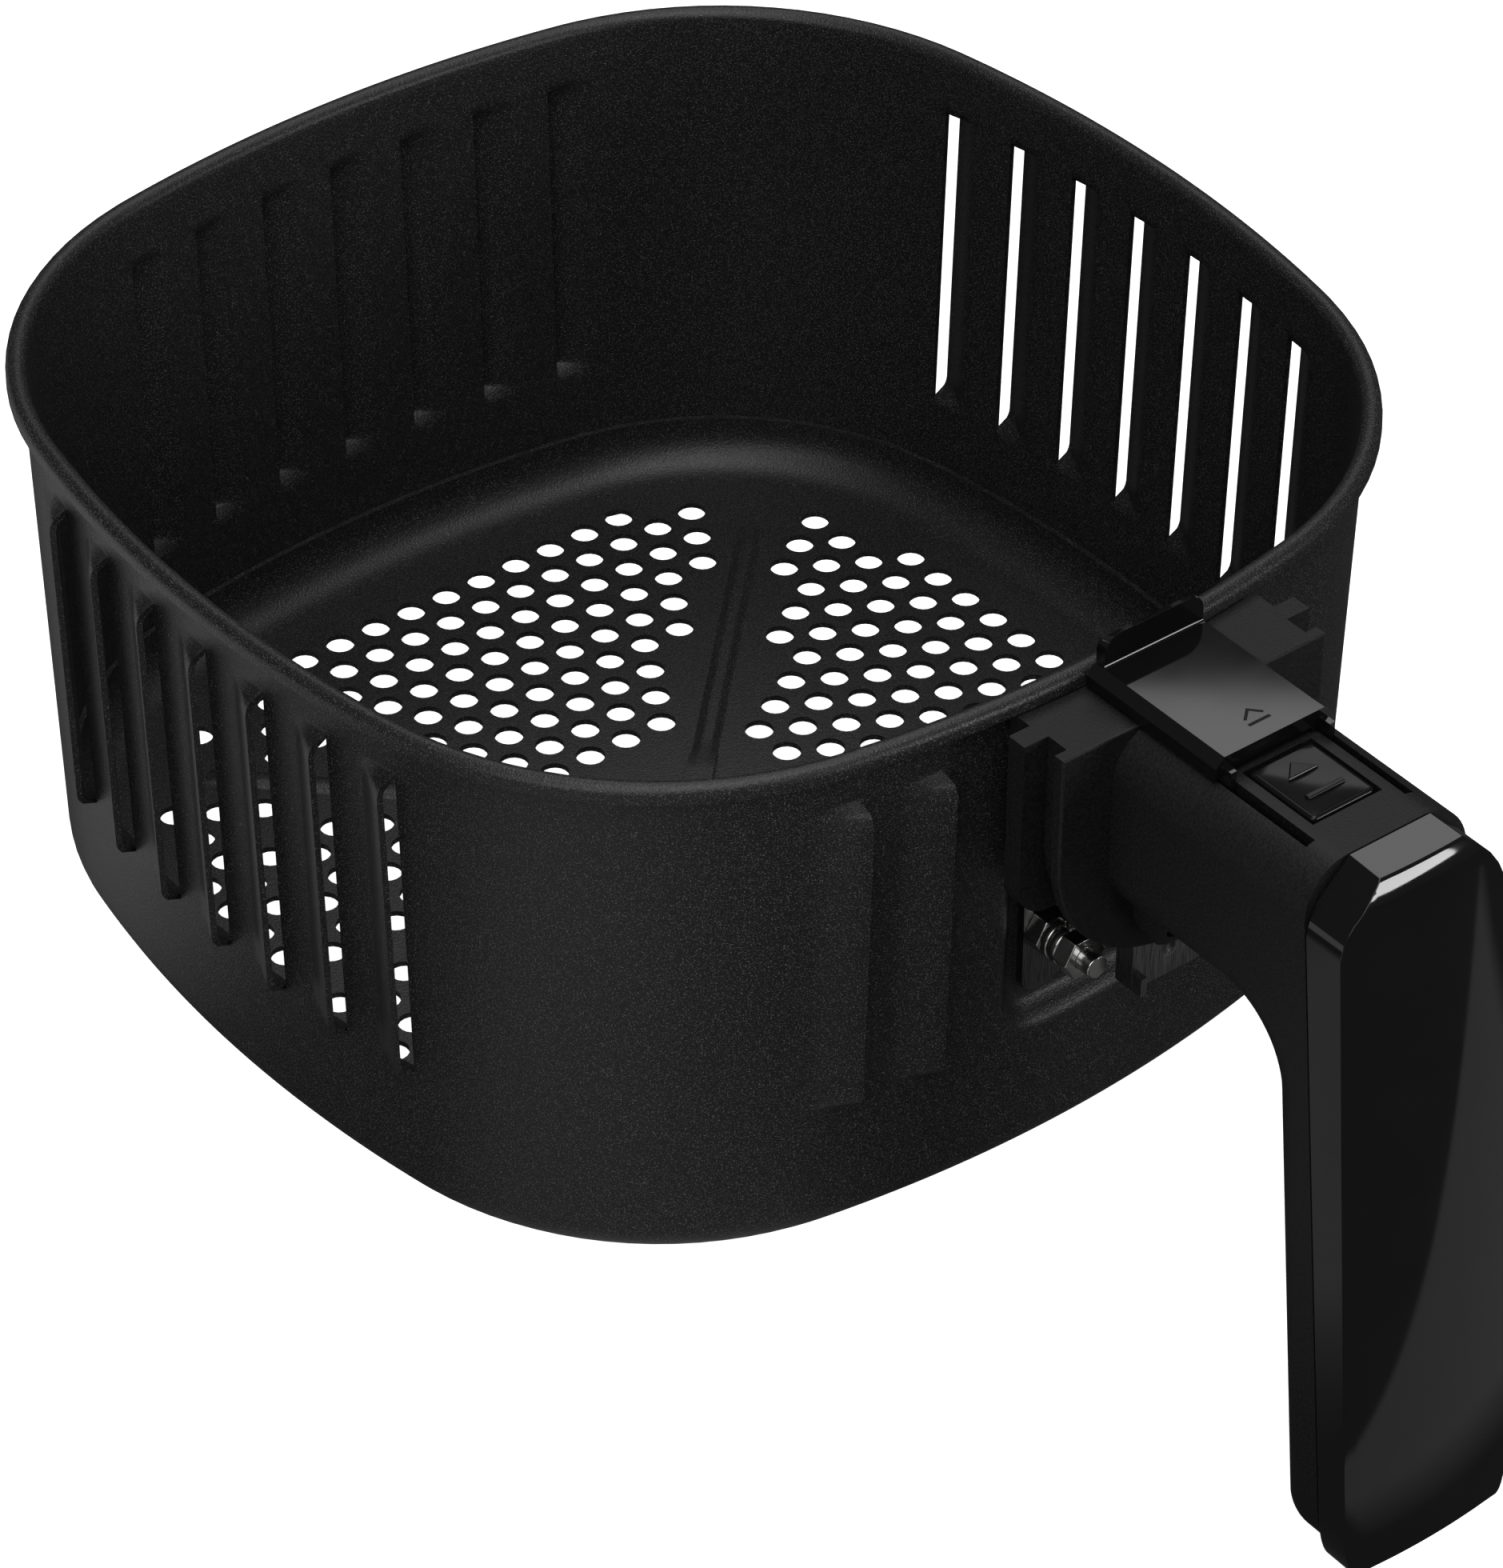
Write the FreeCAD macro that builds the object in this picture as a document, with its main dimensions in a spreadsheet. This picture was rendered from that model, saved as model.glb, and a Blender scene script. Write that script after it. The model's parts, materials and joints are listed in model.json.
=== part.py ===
"""Basket of an air fryer with its handle.

A coated steel basket with louvred walls hangs on a moulded handle. Its perforated floor is a pressed dish,
fixed inside the wall a little above the wall's turned-in lower edge. The handle hooks over the front wall of
the fryer's pan and holds it with a sprung catch. A push button on the neck frees the catch, and a slide keeps
the button covered.

Millimetres. The origin is the middle of the basket's floor, on its underside. +Z is up, +X is to the right of
someone who holds the handle, and the handle points along -Y. Reaches are distances from the middle along -Y.
"""
import FreeCAD, Part
import math
import os
import types

import Sketcher
from FreeCAD import Placement, Rotation, Vector

doc = FreeCAD.newDocument("fryer_basket")
dims = doc.addObject("Spreadsheet::Sheet", "dims")

DRIVING = (
    # the pressed basket
    ("half_width", 98.0, "middle to the outside of the rim, along X"),
    ("half_depth", 99.1, "middle to the outside of the rim, along Y"),
    ("side_radius", 240.0, "bow of each side of the rim"),
    ("corner_radius", 62.4, "corners of the rim"),
    ("rim_height", 91.5, "floor's underside to the top of the rim"),
    ("draft", 1.53, "slope of the walls, degrees"),
    ("sheet", 1.0, "sheet of the basket"),
    ("foot_drop", 5.1, "lower edge of the wall, below the floor's underside"),
    ("foot_bend", 7.0, "bend of the wall's lower edge"),
    ("foot_lip", 1.5, "flat of the wall's turned-in lower edge"),
    ("dish_bend", 8.0, "bend from the floor to its turned-up edge"),
    ("dish_top", 9.5, "height of the floor's turned-up edge"),
    ("dish_play", 0.1, "floor's turned-up edge, in from the wall"),
    ("bead_height", 2.9, "rolled rim, from bottom to top"),
    ("bead_overhang", 2.4, "rolled rim, out from the wall"),
    ("bead_round", 1.3, "roundness of the rolled rim"),
    ("louvre_pitch", 14.35, "step from one louvre to the next"),
    ("louvre_length", 56.0, "louvre, along the wall"),
    ("louvre_width", 7.0, "louvre, across"),
    ("louvre_lip", 1.4, "flat at the lifted edge of a louvre"),
    ("louvre_rise", 2.7, "lifted edge of a louvre, out from the wall"),
    ("louvre_middle", 51.5, "height of the middle of the louvres"),
    ("louvre_slope", 2.8, "sloping end of a louvre"),
    ("louvre_shift", 0.6, "louvres, off the middle of their wall"),
    ("hole_pitch", 7.5, "step of the floor's holes along a row"),
    ("hole_row", 6.42, "step from one row of holes to the next"),
    ("hole_start", 74.4, "middle to the outermost row of holes"),
    ("hole_radius", 2.5, "holes of the floor"),
    ("boss_radius", 17.0, "round boss in the middle of the floor"),
    ("boss_rise", 1.2, "boss, above the floor"),
    ("rib_width", 4.6, "diagonal ribs of the floor"),
    ("rib_rise", 0.9, "ribs, above the floor"),
    ("rib_end", 82.0, "middle to the end of a rib"),
    ("seat_reach", 91.5, "flat seat of the bracket, in the front wall"),
    ("seat_half", 22.3, "seat, middle to its side"),
    ("seat_bottom", 21.0, "height of the seat's lower edge"),
    ("seat_top", 81.0, "height of the seat's upper edge"),
    ("seat_corner", 8.0, "corners of the seat"),
    ("seat_clear", 12.0, "room in front of the seat, out past the wall"),
    # the bracket and its bolts
    ("handle_offset", 8.9, "middle of the handle, to the right of the basket's"),
    ("plate", 1.5, "sheet of the bracket"),
    ("plate_half", 16.4, "bracket, middle to its side"),
    ("plate_bottom", 27.0, "height of the legs' lower end"),
    ("plate_top", 79.0, "height of the bracket's upper edge"),
    ("leg_gap", 8.6, "middle to the inner side of a leg"),
    ("leg_top", 52.0, "height of the gap between the legs"),
    ("leg_corner", 3.0, "corners of the legs"),
    ("bolt_side", 12.5, "middle to a bolt in a leg"),
    ("bolt_level", 39.0, "height of the bolts in the legs"),
    ("bolt_radius", 2.0, "all four bolts"),
    ("bolt_end", 106.0, "reach of the ends of the bolts in the legs"),
    ("head_radius", 3.7, "heads of the bolts"),
    ("head_crown", 2.6, "flat top of the heads"),
    ("head_height", 2.4, "heads of the bolts"),
    ("washer_radius", 4.6, "washers under the heads"),
    ("washer", 0.8, "washers under the heads"),
    ("nut_corner", 4.04, "nuts, middle to a corner"),
    ("nut_height", 3.2, "all nuts"),
    ("split_radius", 3.6, "split washers"),
    ("split_height", 1.6, "split washers"),
    ("split_step", 2.0, "from one split washer to the next"),
    ("split_gap", 0.8, "opening of a split washer"),
    ("anchor_side", 13.0, "middle to a bolt behind the block"),
    ("anchor_level", 60.0, "height of the bolts behind the block"),
    ("anchor_end", 101.0, "reach of the ends of those bolts"),
    ("nut_start", 95.8, "reach of the nuts in the block"),
    ("anchor_nut", 3.5, "square nuts in the block, middle to a flat"),
    # the moulded block with its teeth
    ("top_level", 88.3, "height of the top of block, flange and neck"),
    ("block_half", 24.1, "block behind its teeth, middle to its side"),
    ("block_back", 97.0, "reach of the block's back"),
    ("tooth_half", 28.1, "teeth, middle to the tip"),
    ("tooth_back", 101.4, "reach of the teeth's back"),
    ("tooth_front", 105.0, "reach of the teeth's front"),
    ("tooth_bottom", 55.0, "height of the teeth's lower end"),
    ("tooth_corner", 6.0, "lower corners of the teeth"),
    ("pad_half", 18.8, "pad that rests on the bracket, middle to its side"),
    ("pad_bottom", 55.5, "height of the pad's lower edge"),
    ("pad_top", 78.5, "height of the pad's upper edge"),
    ("core_half", 23.5, "core between teeth and flange, middle to its side"),
    ("catch_half", 9.3, "well of the catch, middle to its side"),
    ("catch_back", 99.2, "reach of the back of the catch's well"),
    ("catch_top", 84.0, "height of the top of the catch's well"),
    # the housing: flange, neck and grip
    ("flange_back", 109.2, "reach of the flange's back"),
    ("flange_front", 111.2, "reach of the flange's front"),
    ("flange_half", 25.8, "flange, middle to its side"),
    ("flange_bottom", 43.2, "height of the flange's half-round lower end"),
    ("flange_flat", 0.8, "half of the flat left between the rounds of that end"),
    ("flange_edge", 0.5, "rounded front edge of the flange"),
    ("neck_half", 15.9, "neck and grip, middle to the side"),
    ("neck_bottom", 55.7, "height of the neck's underside"),
    ("crown_reach", 161.0, "reach of the top of the grip's front"),
    ("waist_reach", 159.9, "reach of the hollow under the crown"),
    ("waist_level", 74.0, "height of that hollow"),
    ("toe_reach", 173.6, "reach of the foot of the grip's front"),
    ("grip_bottom", -37.8, "height of the grip's lower end"),
    ("heel_reach", 155.7, "reach of the foot of the grip's back"),
    ("crook_reach", 146.1, "reach of the corner under the neck"),
    ("crook_radius", 12.0, "bend from the neck to the grip"),
    ("shoulder_radius", 8.5, "upper edges of the neck"),
    ("foot_radius", 8.0, "lower corners of the grip"),
    ("palm_radius", 7.0, "rounded edges on the finger side"),
    ("rim_radius", 1.4, "edges of the grip's front"),
    ("hollow_radius", 60.0, "bend at the hollow under the crown"),
    ("parting_reach", 162.3, "reach of the parting of the grip at the floor's height"),
    ("parting_lean", 0.108, "slope of the parting, along Y for each millimetre of height"),
    ("parting_gap", 0.25, "groove between housing and cover"),
    ("well_half", 11.5, "room of the lever in the neck, middle to its side"),
    ("well_end", 148.6, "reach of the outer end of that room"),
    ("well_floor", 64.0, "height of its floor"),
    ("well_roof", 84.3, "height of its roof"),
    ("collar_half", 10.7, "collar under the neck, middle to its side"),
    ("collar_wall", 2.0, "wall of the collar"),
    ("collar_depth", 14.4, "collar at the neck, out from the flange"),
    ("collar_foot", 3.2, "collar at its lower end, out from the flange"),
    ("collar_round", 9.6, "half-round lower end of the collar"),
    ("collar_bottom", 43.6, "height of the collar's lower end"),
    ("post_radius", 4.0, "posts that carry the cover's screws"),
    ("screw_radius", 1.5, "screws of housing and cover"),
    ("screw_head", 2.8, "heads of these screws"),
    ("screw_head_height", 2.0, "heads of these screws"),
    ("screw_side", 13.7, "middle to a screw of the housing"),
    ("screw_low", 68.0, "height of the lower screws of the housing"),
    ("screw_high", 81.0, "height of the upper screws of the housing"),
    ("screw_tip", 124.0, "reach of the tips of these screws"),
    ("cover_screw_high", 44.0, "height of the cover's upper screw"),
    ("cover_screw_low", -20.0, "height of the cover's lower screw"),
    ("cover_screw_hold", 8.0, "length of the cover's screws in the housing"),
    ("cover_screw_bite", 4.0, "length of the cover's screws in the cover"),
    # the slide, the button, the lever and its spring
    ("slot_side", 9.65, "middle to a slot of the slide"),
    ("slot_width", 1.7, "slots of the slide"),
    ("slot_start", 113.6, "reach of the slots' inner end"),
    ("slot_end", 147.4, "reach of the slots' outer end"),
    ("guard_half", 11.4, "slide, middle to its side"),
    ("guard_back", 99.4, "reach of the slide's back"),
    ("guard_front", 129.4, "reach of the slide's front"),
    ("guard_gap", 0.25, "slide, above the neck"),
    ("guard_top", 92.2, "height of the slide's top"),
    ("guard_bevel", 1.6, "bevelled sides of the slide"),
    ("guard_hollow", 1.2, "hollow under the slide, which clears the button"),
    ("guard_hollow_half", 7.6, "that hollow, middle to its side"),
    ("lip_top", 97.6, "height of the slide's lip"),
    ("lip_wall", 1.9, "thickness of the lip"),
    ("lip_half", 9.7, "lip, middle to its side"),
    ("lip_corner", 3.0, "corners of the lip"),
    ("lip_bend", 2.0, "bend from the slide to its lip"),
    ("lip_foot", 3.0, "foot of that bend, out from the lip"),
    ("runner", 1.1, "runners of the slide, across"),
    ("runner_start", 114.0, "reach of the runners' inner end"),
    ("runner_end", 130.5, "reach of the runners' outer end"),
    ("runner_bottom", 82.8, "height of the runners' lower edge"),
    ("runner_foot", 1.0, "foot that keeps a runner in its slot"),
    ("button_half", 6.2, "button, middle to its side"),
    ("button_start", 129.7, "reach of the button's inner side"),
    ("button_end", 144.1, "reach of the button's outer side"),
    ("button_proud", 0.3, "button, above the neck"),
    ("button_corner", 1.0, "corners of the button"),
    ("button_edge", 0.7, "rounded top edge of the button"),
    ("button_play", 0.6, "gap around the button"),
    ("button_rest", 137.0, "reach of the button's stem"),
    ("flange_play", 0.4, "rim of the button, under the roof of its room"),
    ("skirt", 1.6, "rim of the button, out from its sides"),
    ("skirt_height", 1.8, "rim of the button"),
    ("stem_half", 1.0, "stem of the button, middle to its side along Y"),
    ("stem_width", 6.2, "stem of the button, across"),
    ("lever_half", 8.0, "lever, middle to its side"),
    ("lever_sheet", 1.2, "sheet of the lever"),
    ("lever_back", 105.0, "reach of the lever's web"),
    ("lever_front", 108.8, "reach of the front of its hanging arms"),
    ("lever_bottom", 34.0, "height of the hooks"),
    ("lever_top", 80.2, "height of the tongue under the button"),
    ("lever_end", 141.0, "reach of the tongue's end"),
    ("lever_tip", 3.0, "sides of the tongue at its end"),
    ("elbow_level", 67.0, "height of the arms' bend under the pivot"),
    ("elbow_out", 4.5, "bend of the arms, out from the pivot"),
    ("elbow_in", 3.0, "bend of the arms, back from the pivot"),
    ("hook_reach", 111.0, "reach of the hooks"),
    ("hook_height", 3.4, "hooks, from bottom to top"),
    ("pin_reach", 114.5, "reach of the lever's pivot"),
    ("pin_level", 73.0, "height of the lever's pivot"),
    ("pin_radius", 1.5, "pivot pin"),
    ("pin_half", 13.6, "pivot pin, middle to its end"),
    ("pin_play", 0.05, "lever's bore around the pin"),
    ("spring_radius", 3.2, "coil spring, to the middle of its wire"),
    ("spring_wire", 0.4, "radius of the spring's wire"),
    ("spring_turns", 5, "turns of the spring"),
)


class Size:
    """A length with its value and the formula of sheet cells behind it."""

    def __init__(self, value, formula):
        self.value = value
        self.formula = formula

    def joined(self, other, sign, value):
        return Size(value, f"({self.formula} {sign} {other.formula})")

    def __add__(self, other):
        other = sized(other)
        return self.joined(other, "+", self.value + other.value)

    def __sub__(self, other):
        other = sized(other)
        return self.joined(other, "-", self.value - other.value)

    def __mul__(self, other):
        other = sized(other)
        return self.joined(other, "*", self.value * other.value)

    def __truediv__(self, other):
        other = sized(other)
        return self.joined(other, "/", self.value / other.value)

    def __neg__(self):
        return Size(-self.value, f"(0 - {self.formula})")

    def __rsub__(self, other):
        return sized(other) - self

    __radd__ = __add__
    __rmul__ = __mul__


def sized(number):
    return number if isinstance(number, Size) else Size(float(number), repr(float(number)))


d = types.SimpleNamespace()
for row, (alias, value, note) in enumerate(DRIVING, 1):
    dims.set(f"A{row}", note)
    dims.set(f"B{row}", str(value))
    dims.setAlias(f"B{row}", alias)
    setattr(d, alias, Size(float(value), f"dims.{alias}"))
doc.recompute()


def bind(piece, **lengths):
    """Bind properties of an object to the sheet. Place_x, Place_y and Place_z stand for its place."""
    for name, length in lengths.items():
        path = name.replace("Place_", "Placement.Base.")
        piece.setExpression(path, sized(length).formula)
    return piece


def box(name, x, y, z):
    """Block between two places along each axis."""
    piece = doc.addObject("Part::Box", name)
    low = [sized(pair[0]) for pair in (x, y, z)]
    span = [sized(pair[1]) - sized(pair[0]) for pair in (x, y, z)]
    bind(piece, Length=span[0], Width=span[1], Height=span[2])
    return bind(piece, Place_x=low[0], Place_y=low[1], Place_z=low[2])


def reach(near, far):
    """Span along -Y between two distances from the basket's middle, as a pair from low to high."""
    return -sized(far), -sized(near)


def sides(half):
    return -half, half


def rod(name, radius, x, y, z, length, axis="y"):
    """Round bar that starts at x, y, z and runs along -Y or +X."""
    piece = doc.addObject("Part::Cylinder", name)
    turn = Rotation(Vector(1, 0, 0), 90) if axis == "y" else Rotation(Vector(0, 1, 0), 90)
    piece.Placement = Placement(Vector(), turn)
    bind(piece, Radius=radius, Height=length)
    return bind(piece, Place_x=x, Place_y=y, Place_z=z)


def hexagon(name, corner, x, y, z, length):
    """Hexagonal bar that runs along -Y."""
    piece = doc.addObject("Part::Prism", name)
    piece.Polygon = 6
    piece.Placement = Placement(Vector(), Rotation(Vector(1, 0, 0), 90))
    bind(piece, Circumradius=corner, Height=length)
    return bind(piece, Place_x=x, Place_y=y, Place_z=z)


def fuse(name, pieces):
    made = doc.addObject("Part::MultiFuse", name)
    made.Shapes = pieces
    return made


def cut(name, base, tools):
    made = doc.addObject("Part::Cut", name)
    made.Base = base
    made.Tool = tools[0] if len(tools) == 1 else fuse(f"{name}_tools", tools)
    return made


def group(name, pieces):
    """Like pieces of one kind, kept apart as solids of one node."""
    made = doc.addObject("Part::Compound", name)
    made.Links = pieces
    return made


def new_body(name):
    return doc.addObject("PartDesign::Body", name)


def new_sketch(body, name, role, offset=0.0):
    """Sketch on one of the body's own origin planes, moved along the plane's normal."""
    plane = next(item for item in body.Origin.OriginFeatures if item.Role == role)
    made = body.newObject("Sketcher::SketchObject", name)
    made.AttachmentSupport = (plane, [""])
    made.MapMode = "FlatFace"
    made.setExpression("AttachmentOffset.Base.z", sized(offset).formula)
    return made


def hold(sketch, kind, *where, length):
    """Dimension of a sketch, bound to the sheet."""
    number = sketch.addConstraint(Sketcher.Constraint(kind, *where, length.value))
    sketch.setExpression(f"Constraints[{number}]", length.formula)


def outline(sketch, corners):
    """Closed outline of straight lines through corners, each placed from the sketch's origin."""
    places = [(sized(x), sized(y)) for x, y in corners]
    points = [Vector(x.value, y.value, 0) for x, y in places]
    first = sketch.GeometryCount
    count = len(points)
    for index in range(count):
        sketch.addGeometry(Part.LineSegment(points[index], points[(index + 1) % count]))
    for index, (x, y) in enumerate(places):
        line = first + index
        before = first + (index - 1) % count
        sketch.addConstraint(Sketcher.Constraint("Coincident", before, 2, line, 1))
        for kind, length, axis in (("DistanceX", x, -2), ("DistanceY", y, -1)):
            if length.value:
                hold(sketch, kind, -1, 1, line, 1, length=length)
            else:
                sketch.addConstraint(Sketcher.Constraint("PointOnObject", line, 1, axis))


def rounded_square(sketch, inset):
    """The rim's outline, drawn in by an inset: four bowed sides and four corners, all arcs that run on."""
    half = (d.half_width.value, d.half_depth.value)
    bow = d.side_radius - inset
    corner = d.corner_radius - inset
    back_x = d.side_radius.value - half[0]
    back_y = d.side_radius.value - half[1]
    span = d.side_radius.value - d.corner_radius.value
    # the corner's centre lies one span from the centres of both sides beside it
    ratio = back_y / back_x
    shift = (back_y ** 2 - back_x ** 2) / (2 * back_x) + back_x
    root = math.sqrt((ratio * shift) ** 2 - (ratio ** 2 + 1) * (shift ** 2 - span ** 2))
    corner_y = (root - ratio * shift) / (ratio ** 2 + 1)
    corner_x = ratio * corner_y + shift - back_x
    low = math.atan2(corner_y, corner_x + back_x)
    high = math.atan2(corner_y + back_y, corner_x)
    for quarter in range(4):
        turn = quarter * math.pi / 2
        along_x = quarter % 2 == 0
        sign = 1 if quarter < 2 else -1
        side = Vector(-sign * back_x, 0, 0) if along_x else Vector(0, -sign * back_y, 0)
        start, end = (low, low) if along_x else (math.pi / 2 - high, math.pi / 2 - high)
        circle = Part.Circle(side, Vector(0, 0, 1), bow.value)
        sketch.addGeometry(Part.ArcOfCircle(circle, turn - start, turn + end))
        sign_x = 1 if quarter in (0, 3) else -1
        middle = Vector(sign_x * corner_x, sign * corner_y, 0)
        next_start = high if along_x else math.pi / 2 - low
        arc_from = low if along_x else math.pi / 2 - high
        circle = Part.Circle(middle, Vector(0, 0, 1), corner.value)
        sketch.addGeometry(Part.ArcOfCircle(circle, turn + arc_from, turn + next_start))
    first = sketch.GeometryCount - 8
    for index in range(8):
        sketch.addConstraint(Sketcher.Constraint("Tangent", first + index, 2, first + (index + 1) % 8, 1))
    for quarter in range(4):
        side = first + 2 * quarter
        axis, kind = (-1, "DistanceX") if quarter % 2 == 0 else (-2, "DistanceY")
        half_size = d.half_width if quarter % 2 == 0 else d.half_depth
        sketch.addConstraint(Sketcher.Constraint("PointOnObject", side, 3, axis))
        middle = half_size - d.side_radius if quarter < 2 else d.side_radius - half_size
        hold(sketch, kind, -1, 1, side, 3, length=middle)
        hold(sketch, "Radius", side, length=bow)
        hold(sketch, "Radius", side + 1, length=corner)


def pad(body, sketch, length, both_ways=False):
    made = body.newObject("PartDesign::Pad", f"{sketch.Name}_pad")
    made.Profile = sketch
    if both_ways:
        made.SideType = "Symmetric"
    return bind(made, Length=length)


def round_edges(body, radius, chosen):
    """Round the edges of the body's last feature that the test picks."""
    doc.recompute()
    base = body.Tip
    names = [f"Edge{number}" for number, edge in enumerate(base.Shape.Edges, 1) if chosen(edge)]
    made = body.newObject("PartDesign::Fillet", f"{body.Name}_round")
    made.Base = (base, names)
    bind(made, Radius=radius)
    doc.recompute()
    return made


def runs_along(edge, axis):
    box_of_edge = edge.BoundBox
    lengths = (box_of_edge.XLength, box_of_edge.YLength, box_of_edge.ZLength)
    return lengths[axis] > 1e-3 and sum(lengths) - lengths[axis] < 1e-3


def near(value, target):
    return abs(value - sized(target).value) < 1e-3


def on_handle(piece):
    """Shift a finished piece of the handle to the handle's middle."""
    return bind(piece, Place_x=d.handle_offset)


def on_handle_side(piece, side):
    """Shift a tool that stands to one side of the handle's middle."""
    return bind(piece, Place_x=d.handle_offset + side)


def bolt_places(side, *levels):
    return [(sign * side, level) for level in levels for sign in (-1, 1)]


# the slope of the walls draws the outline in towards the floor
slope = math.tan(math.radians(d.draft.value))
slope_formula = Size(slope, "tan(dims.draft)")


def wall_inset(height):
    """How far the wall's outside stands in from the rim's outside at a height."""
    return d.bead_overhang + (d.rim_height - height) * slope_formula


def basket_form(name, bottom, top, inset, bend):
    """Drafted, round-cornered form of the basket with its bent base edge."""
    body = new_body(name)
    base = new_sketch(body, f"{name}_base", "XY_Plane", bottom)
    rounded_square(base, wall_inset(bottom) + inset)
    bind(pad(body, base, top - bottom), TaperAngle=d.draft)
    round_edges(body, bend, lambda edge: edge.BoundBox.ZMax < sized(bottom).value + 1e-3)
    return body


outer_form = basket_form("outer_form", -d.foot_drop, d.rim_height, sized(0), d.foot_bend)
over_rim = d.rim_height + d.bead_height
inner_form = basket_form("inner_form", d.sheet - d.foot_drop, over_rim, d.sheet, d.foot_bend - d.sheet)


def louvre(name, place, base, rise, width, length, top_width, end_slope):
    """Wedge that lifts along one long edge and slopes down at both ends."""
    low, high = width
    piece = doc.addObject("Part::Wedge", name)
    bind(piece, Xmin=low, Xmax=high, X2min=low, X2max=low + top_width, Ymin=base, Ymax=rise)
    bind(piece, Zmin=-length / 2, Zmax=length / 2)
    bind(piece, Z2min=end_slope - length / 2, Z2max=length / 2 - end_slope)
    piece.Placement = place
    return piece


def louvre_place(wall, number):
    """Place of one louvre on the drafted, bowed wall: 0 right, 1 back, 2 left, 3 front."""
    half = d.half_width if wall % 2 == 0 else d.half_depth
    across = number * d.louvre_pitch.value - d.louvre_shift.value
    bow = d.side_radius.value - wall_inset(d.louvre_middle).value
    angle = math.asin(across / bow)
    out = half.value - d.side_radius.value + bow * math.cos(angle)
    spin = Rotation(Vector(0, 0, 1), 90 * wall)
    tilt = math.radians(d.draft.value)
    normal = Vector(math.cos(angle) * math.cos(tilt), math.sin(angle) * math.cos(tilt), -math.sin(tilt))
    upward = Vector(math.cos(angle) * math.sin(tilt), math.sin(angle) * math.sin(tilt), math.cos(tilt))
    frame = Rotation(normal.cross(upward), normal, upward, "ZYX")
    middle = spin.multVec(Vector(out, across, d.louvre_middle.value))
    return Placement(middle, spin.multiply(frame))


LOUVRES_PER_SIDE = 3
hoods = []
vents = []
louvre_half = d.louvre_width / 2
for wall in range(4):
    # the front wall keeps only the two louvres that the handle's seat leaves room for
    numbers = (-3, -2) if wall == 3 else range(-LOUVRES_PER_SIDE, LOUVRES_PER_SIDE + 1)
    for number in numbers:
        place = louvre_place(wall, number)
        tag = f"{wall}_{number + LOUVRES_PER_SIDE}"
        hood_width = (-louvre_half, louvre_half)
        hoods.append(louvre(f"hood_{tag}", place, -d.sheet / 2, d.louvre_rise, hood_width,
                            d.louvre_length, d.louvre_lip, d.louvre_slope))
        vent_width = (-louvre_half - d.sheet / 2, louvre_half - d.sheet * 1.5)
        vents.append(louvre(f"vent_{tag}", place, -2 * d.sheet, d.louvre_rise - d.sheet, vent_width,
                            d.louvre_length - 2 * d.sheet, d.louvre_lip, d.louvre_slope))


def seat_form(name, grow):
    """Flat-bottomed panel pressed into the front wall, grown by the sheet for its inner side."""
    body = new_body(name)
    shape = new_sketch(body, f"{name}_outline", "XZ_Plane", d.seat_reach - grow)
    half = d.seat_half + grow
    low = d.seat_bottom - grow
    high = d.seat_top + grow
    outline(shape, [(-half, low), (half, low), (half, high), (-half, high)])
    pad(body, shape, d.seat_clear)
    round_edges(body, d.seat_corner + grow, lambda edge: runs_along(edge, 1))
    return on_handle(body)


seat_outside = seat_form("seat_outside", sized(0))
seat_inside = seat_form("seat_inside", d.sheet)

bead = new_body("bead")
bead_outline = new_sketch(bead, "bead_outline", "XY_Plane", d.rim_height - d.bead_height)
rounded_square(bead_outline, sized(0))
rounded_square(bead_outline, d.bead_overhang + d.sheet)
pad(bead, bead_outline, d.bead_height)


def on_bead_round(edge):
    """The rim's outer edges, and its inner edge at the top."""
    if edge.BoundBox.ZLength > 1e-3:
        return False
    outside = near(edge.Curve.Radius, d.side_radius) or near(edge.Curve.Radius, d.corner_radius)
    return outside or near(edge.BoundBox.ZMax, d.rim_height)


round_edges(bead, d.bead_round, on_bead_round)

foot_opening = new_body("foot_opening")
foot_outline = new_sketch(foot_opening, "foot_outline", "XY_Plane", -d.foot_drop - d.sheet)
rounded_square(foot_outline, wall_inset(-d.foot_drop) + d.foot_bend + d.foot_lip)
pad(foot_opening, foot_outline, d.sheet * 3)

wall_bolts = bolt_places(d.bolt_side, d.bolt_level) + bolt_places(d.anchor_side, d.anchor_level)
bolt_holes = []
for number, (side, level) in enumerate(wall_bolts):
    hole = rod(f"wall_hole_{number}", d.bolt_radius, side, -d.seat_reach + d.sheet * 2, level, d.sheet * 4)
    bolt_holes.append(on_handle_side(hole, side))

pressed_outside = cut("pressed_outside", fuse("louvred", [outer_form] + hoods), [seat_outside])
pressed_inside = cut("pressed_inside", fuse("vented", [inner_form] + vents), [seat_inside])
pressing = cut("pressing", pressed_outside, [pressed_inside, foot_opening] + bolt_holes)
basket_shell = fuse("basket_shell", [pressing, bead])

# Floor: a dish whose turned-up edge stands inside the wall. Rows of holes fan out from the middle, a group on
# each side, between the diagonal ribs. A row's reach is counted in steps along the row from its middle. The
# outermost row differs from side to side.
ROW_REACH = (None, 7, 6.5, 6, 4.5, 4, 2.5, 2, 1.5)
OUTER_ROW_REACH = (4.5, 5.5)
HOLE_SIDES = 8


def hole_wire(x, y):
    points = []
    for side in range(HOLE_SIDES + 1):
        angle = -2 * math.pi * (side + 0.5) / HOLE_SIDES
        points.append(Vector(x, y, 0) + d.hole_radius.value * Vector(math.cos(angle), math.sin(angle), 0))
    return Part.makePolygon(points)


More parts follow.
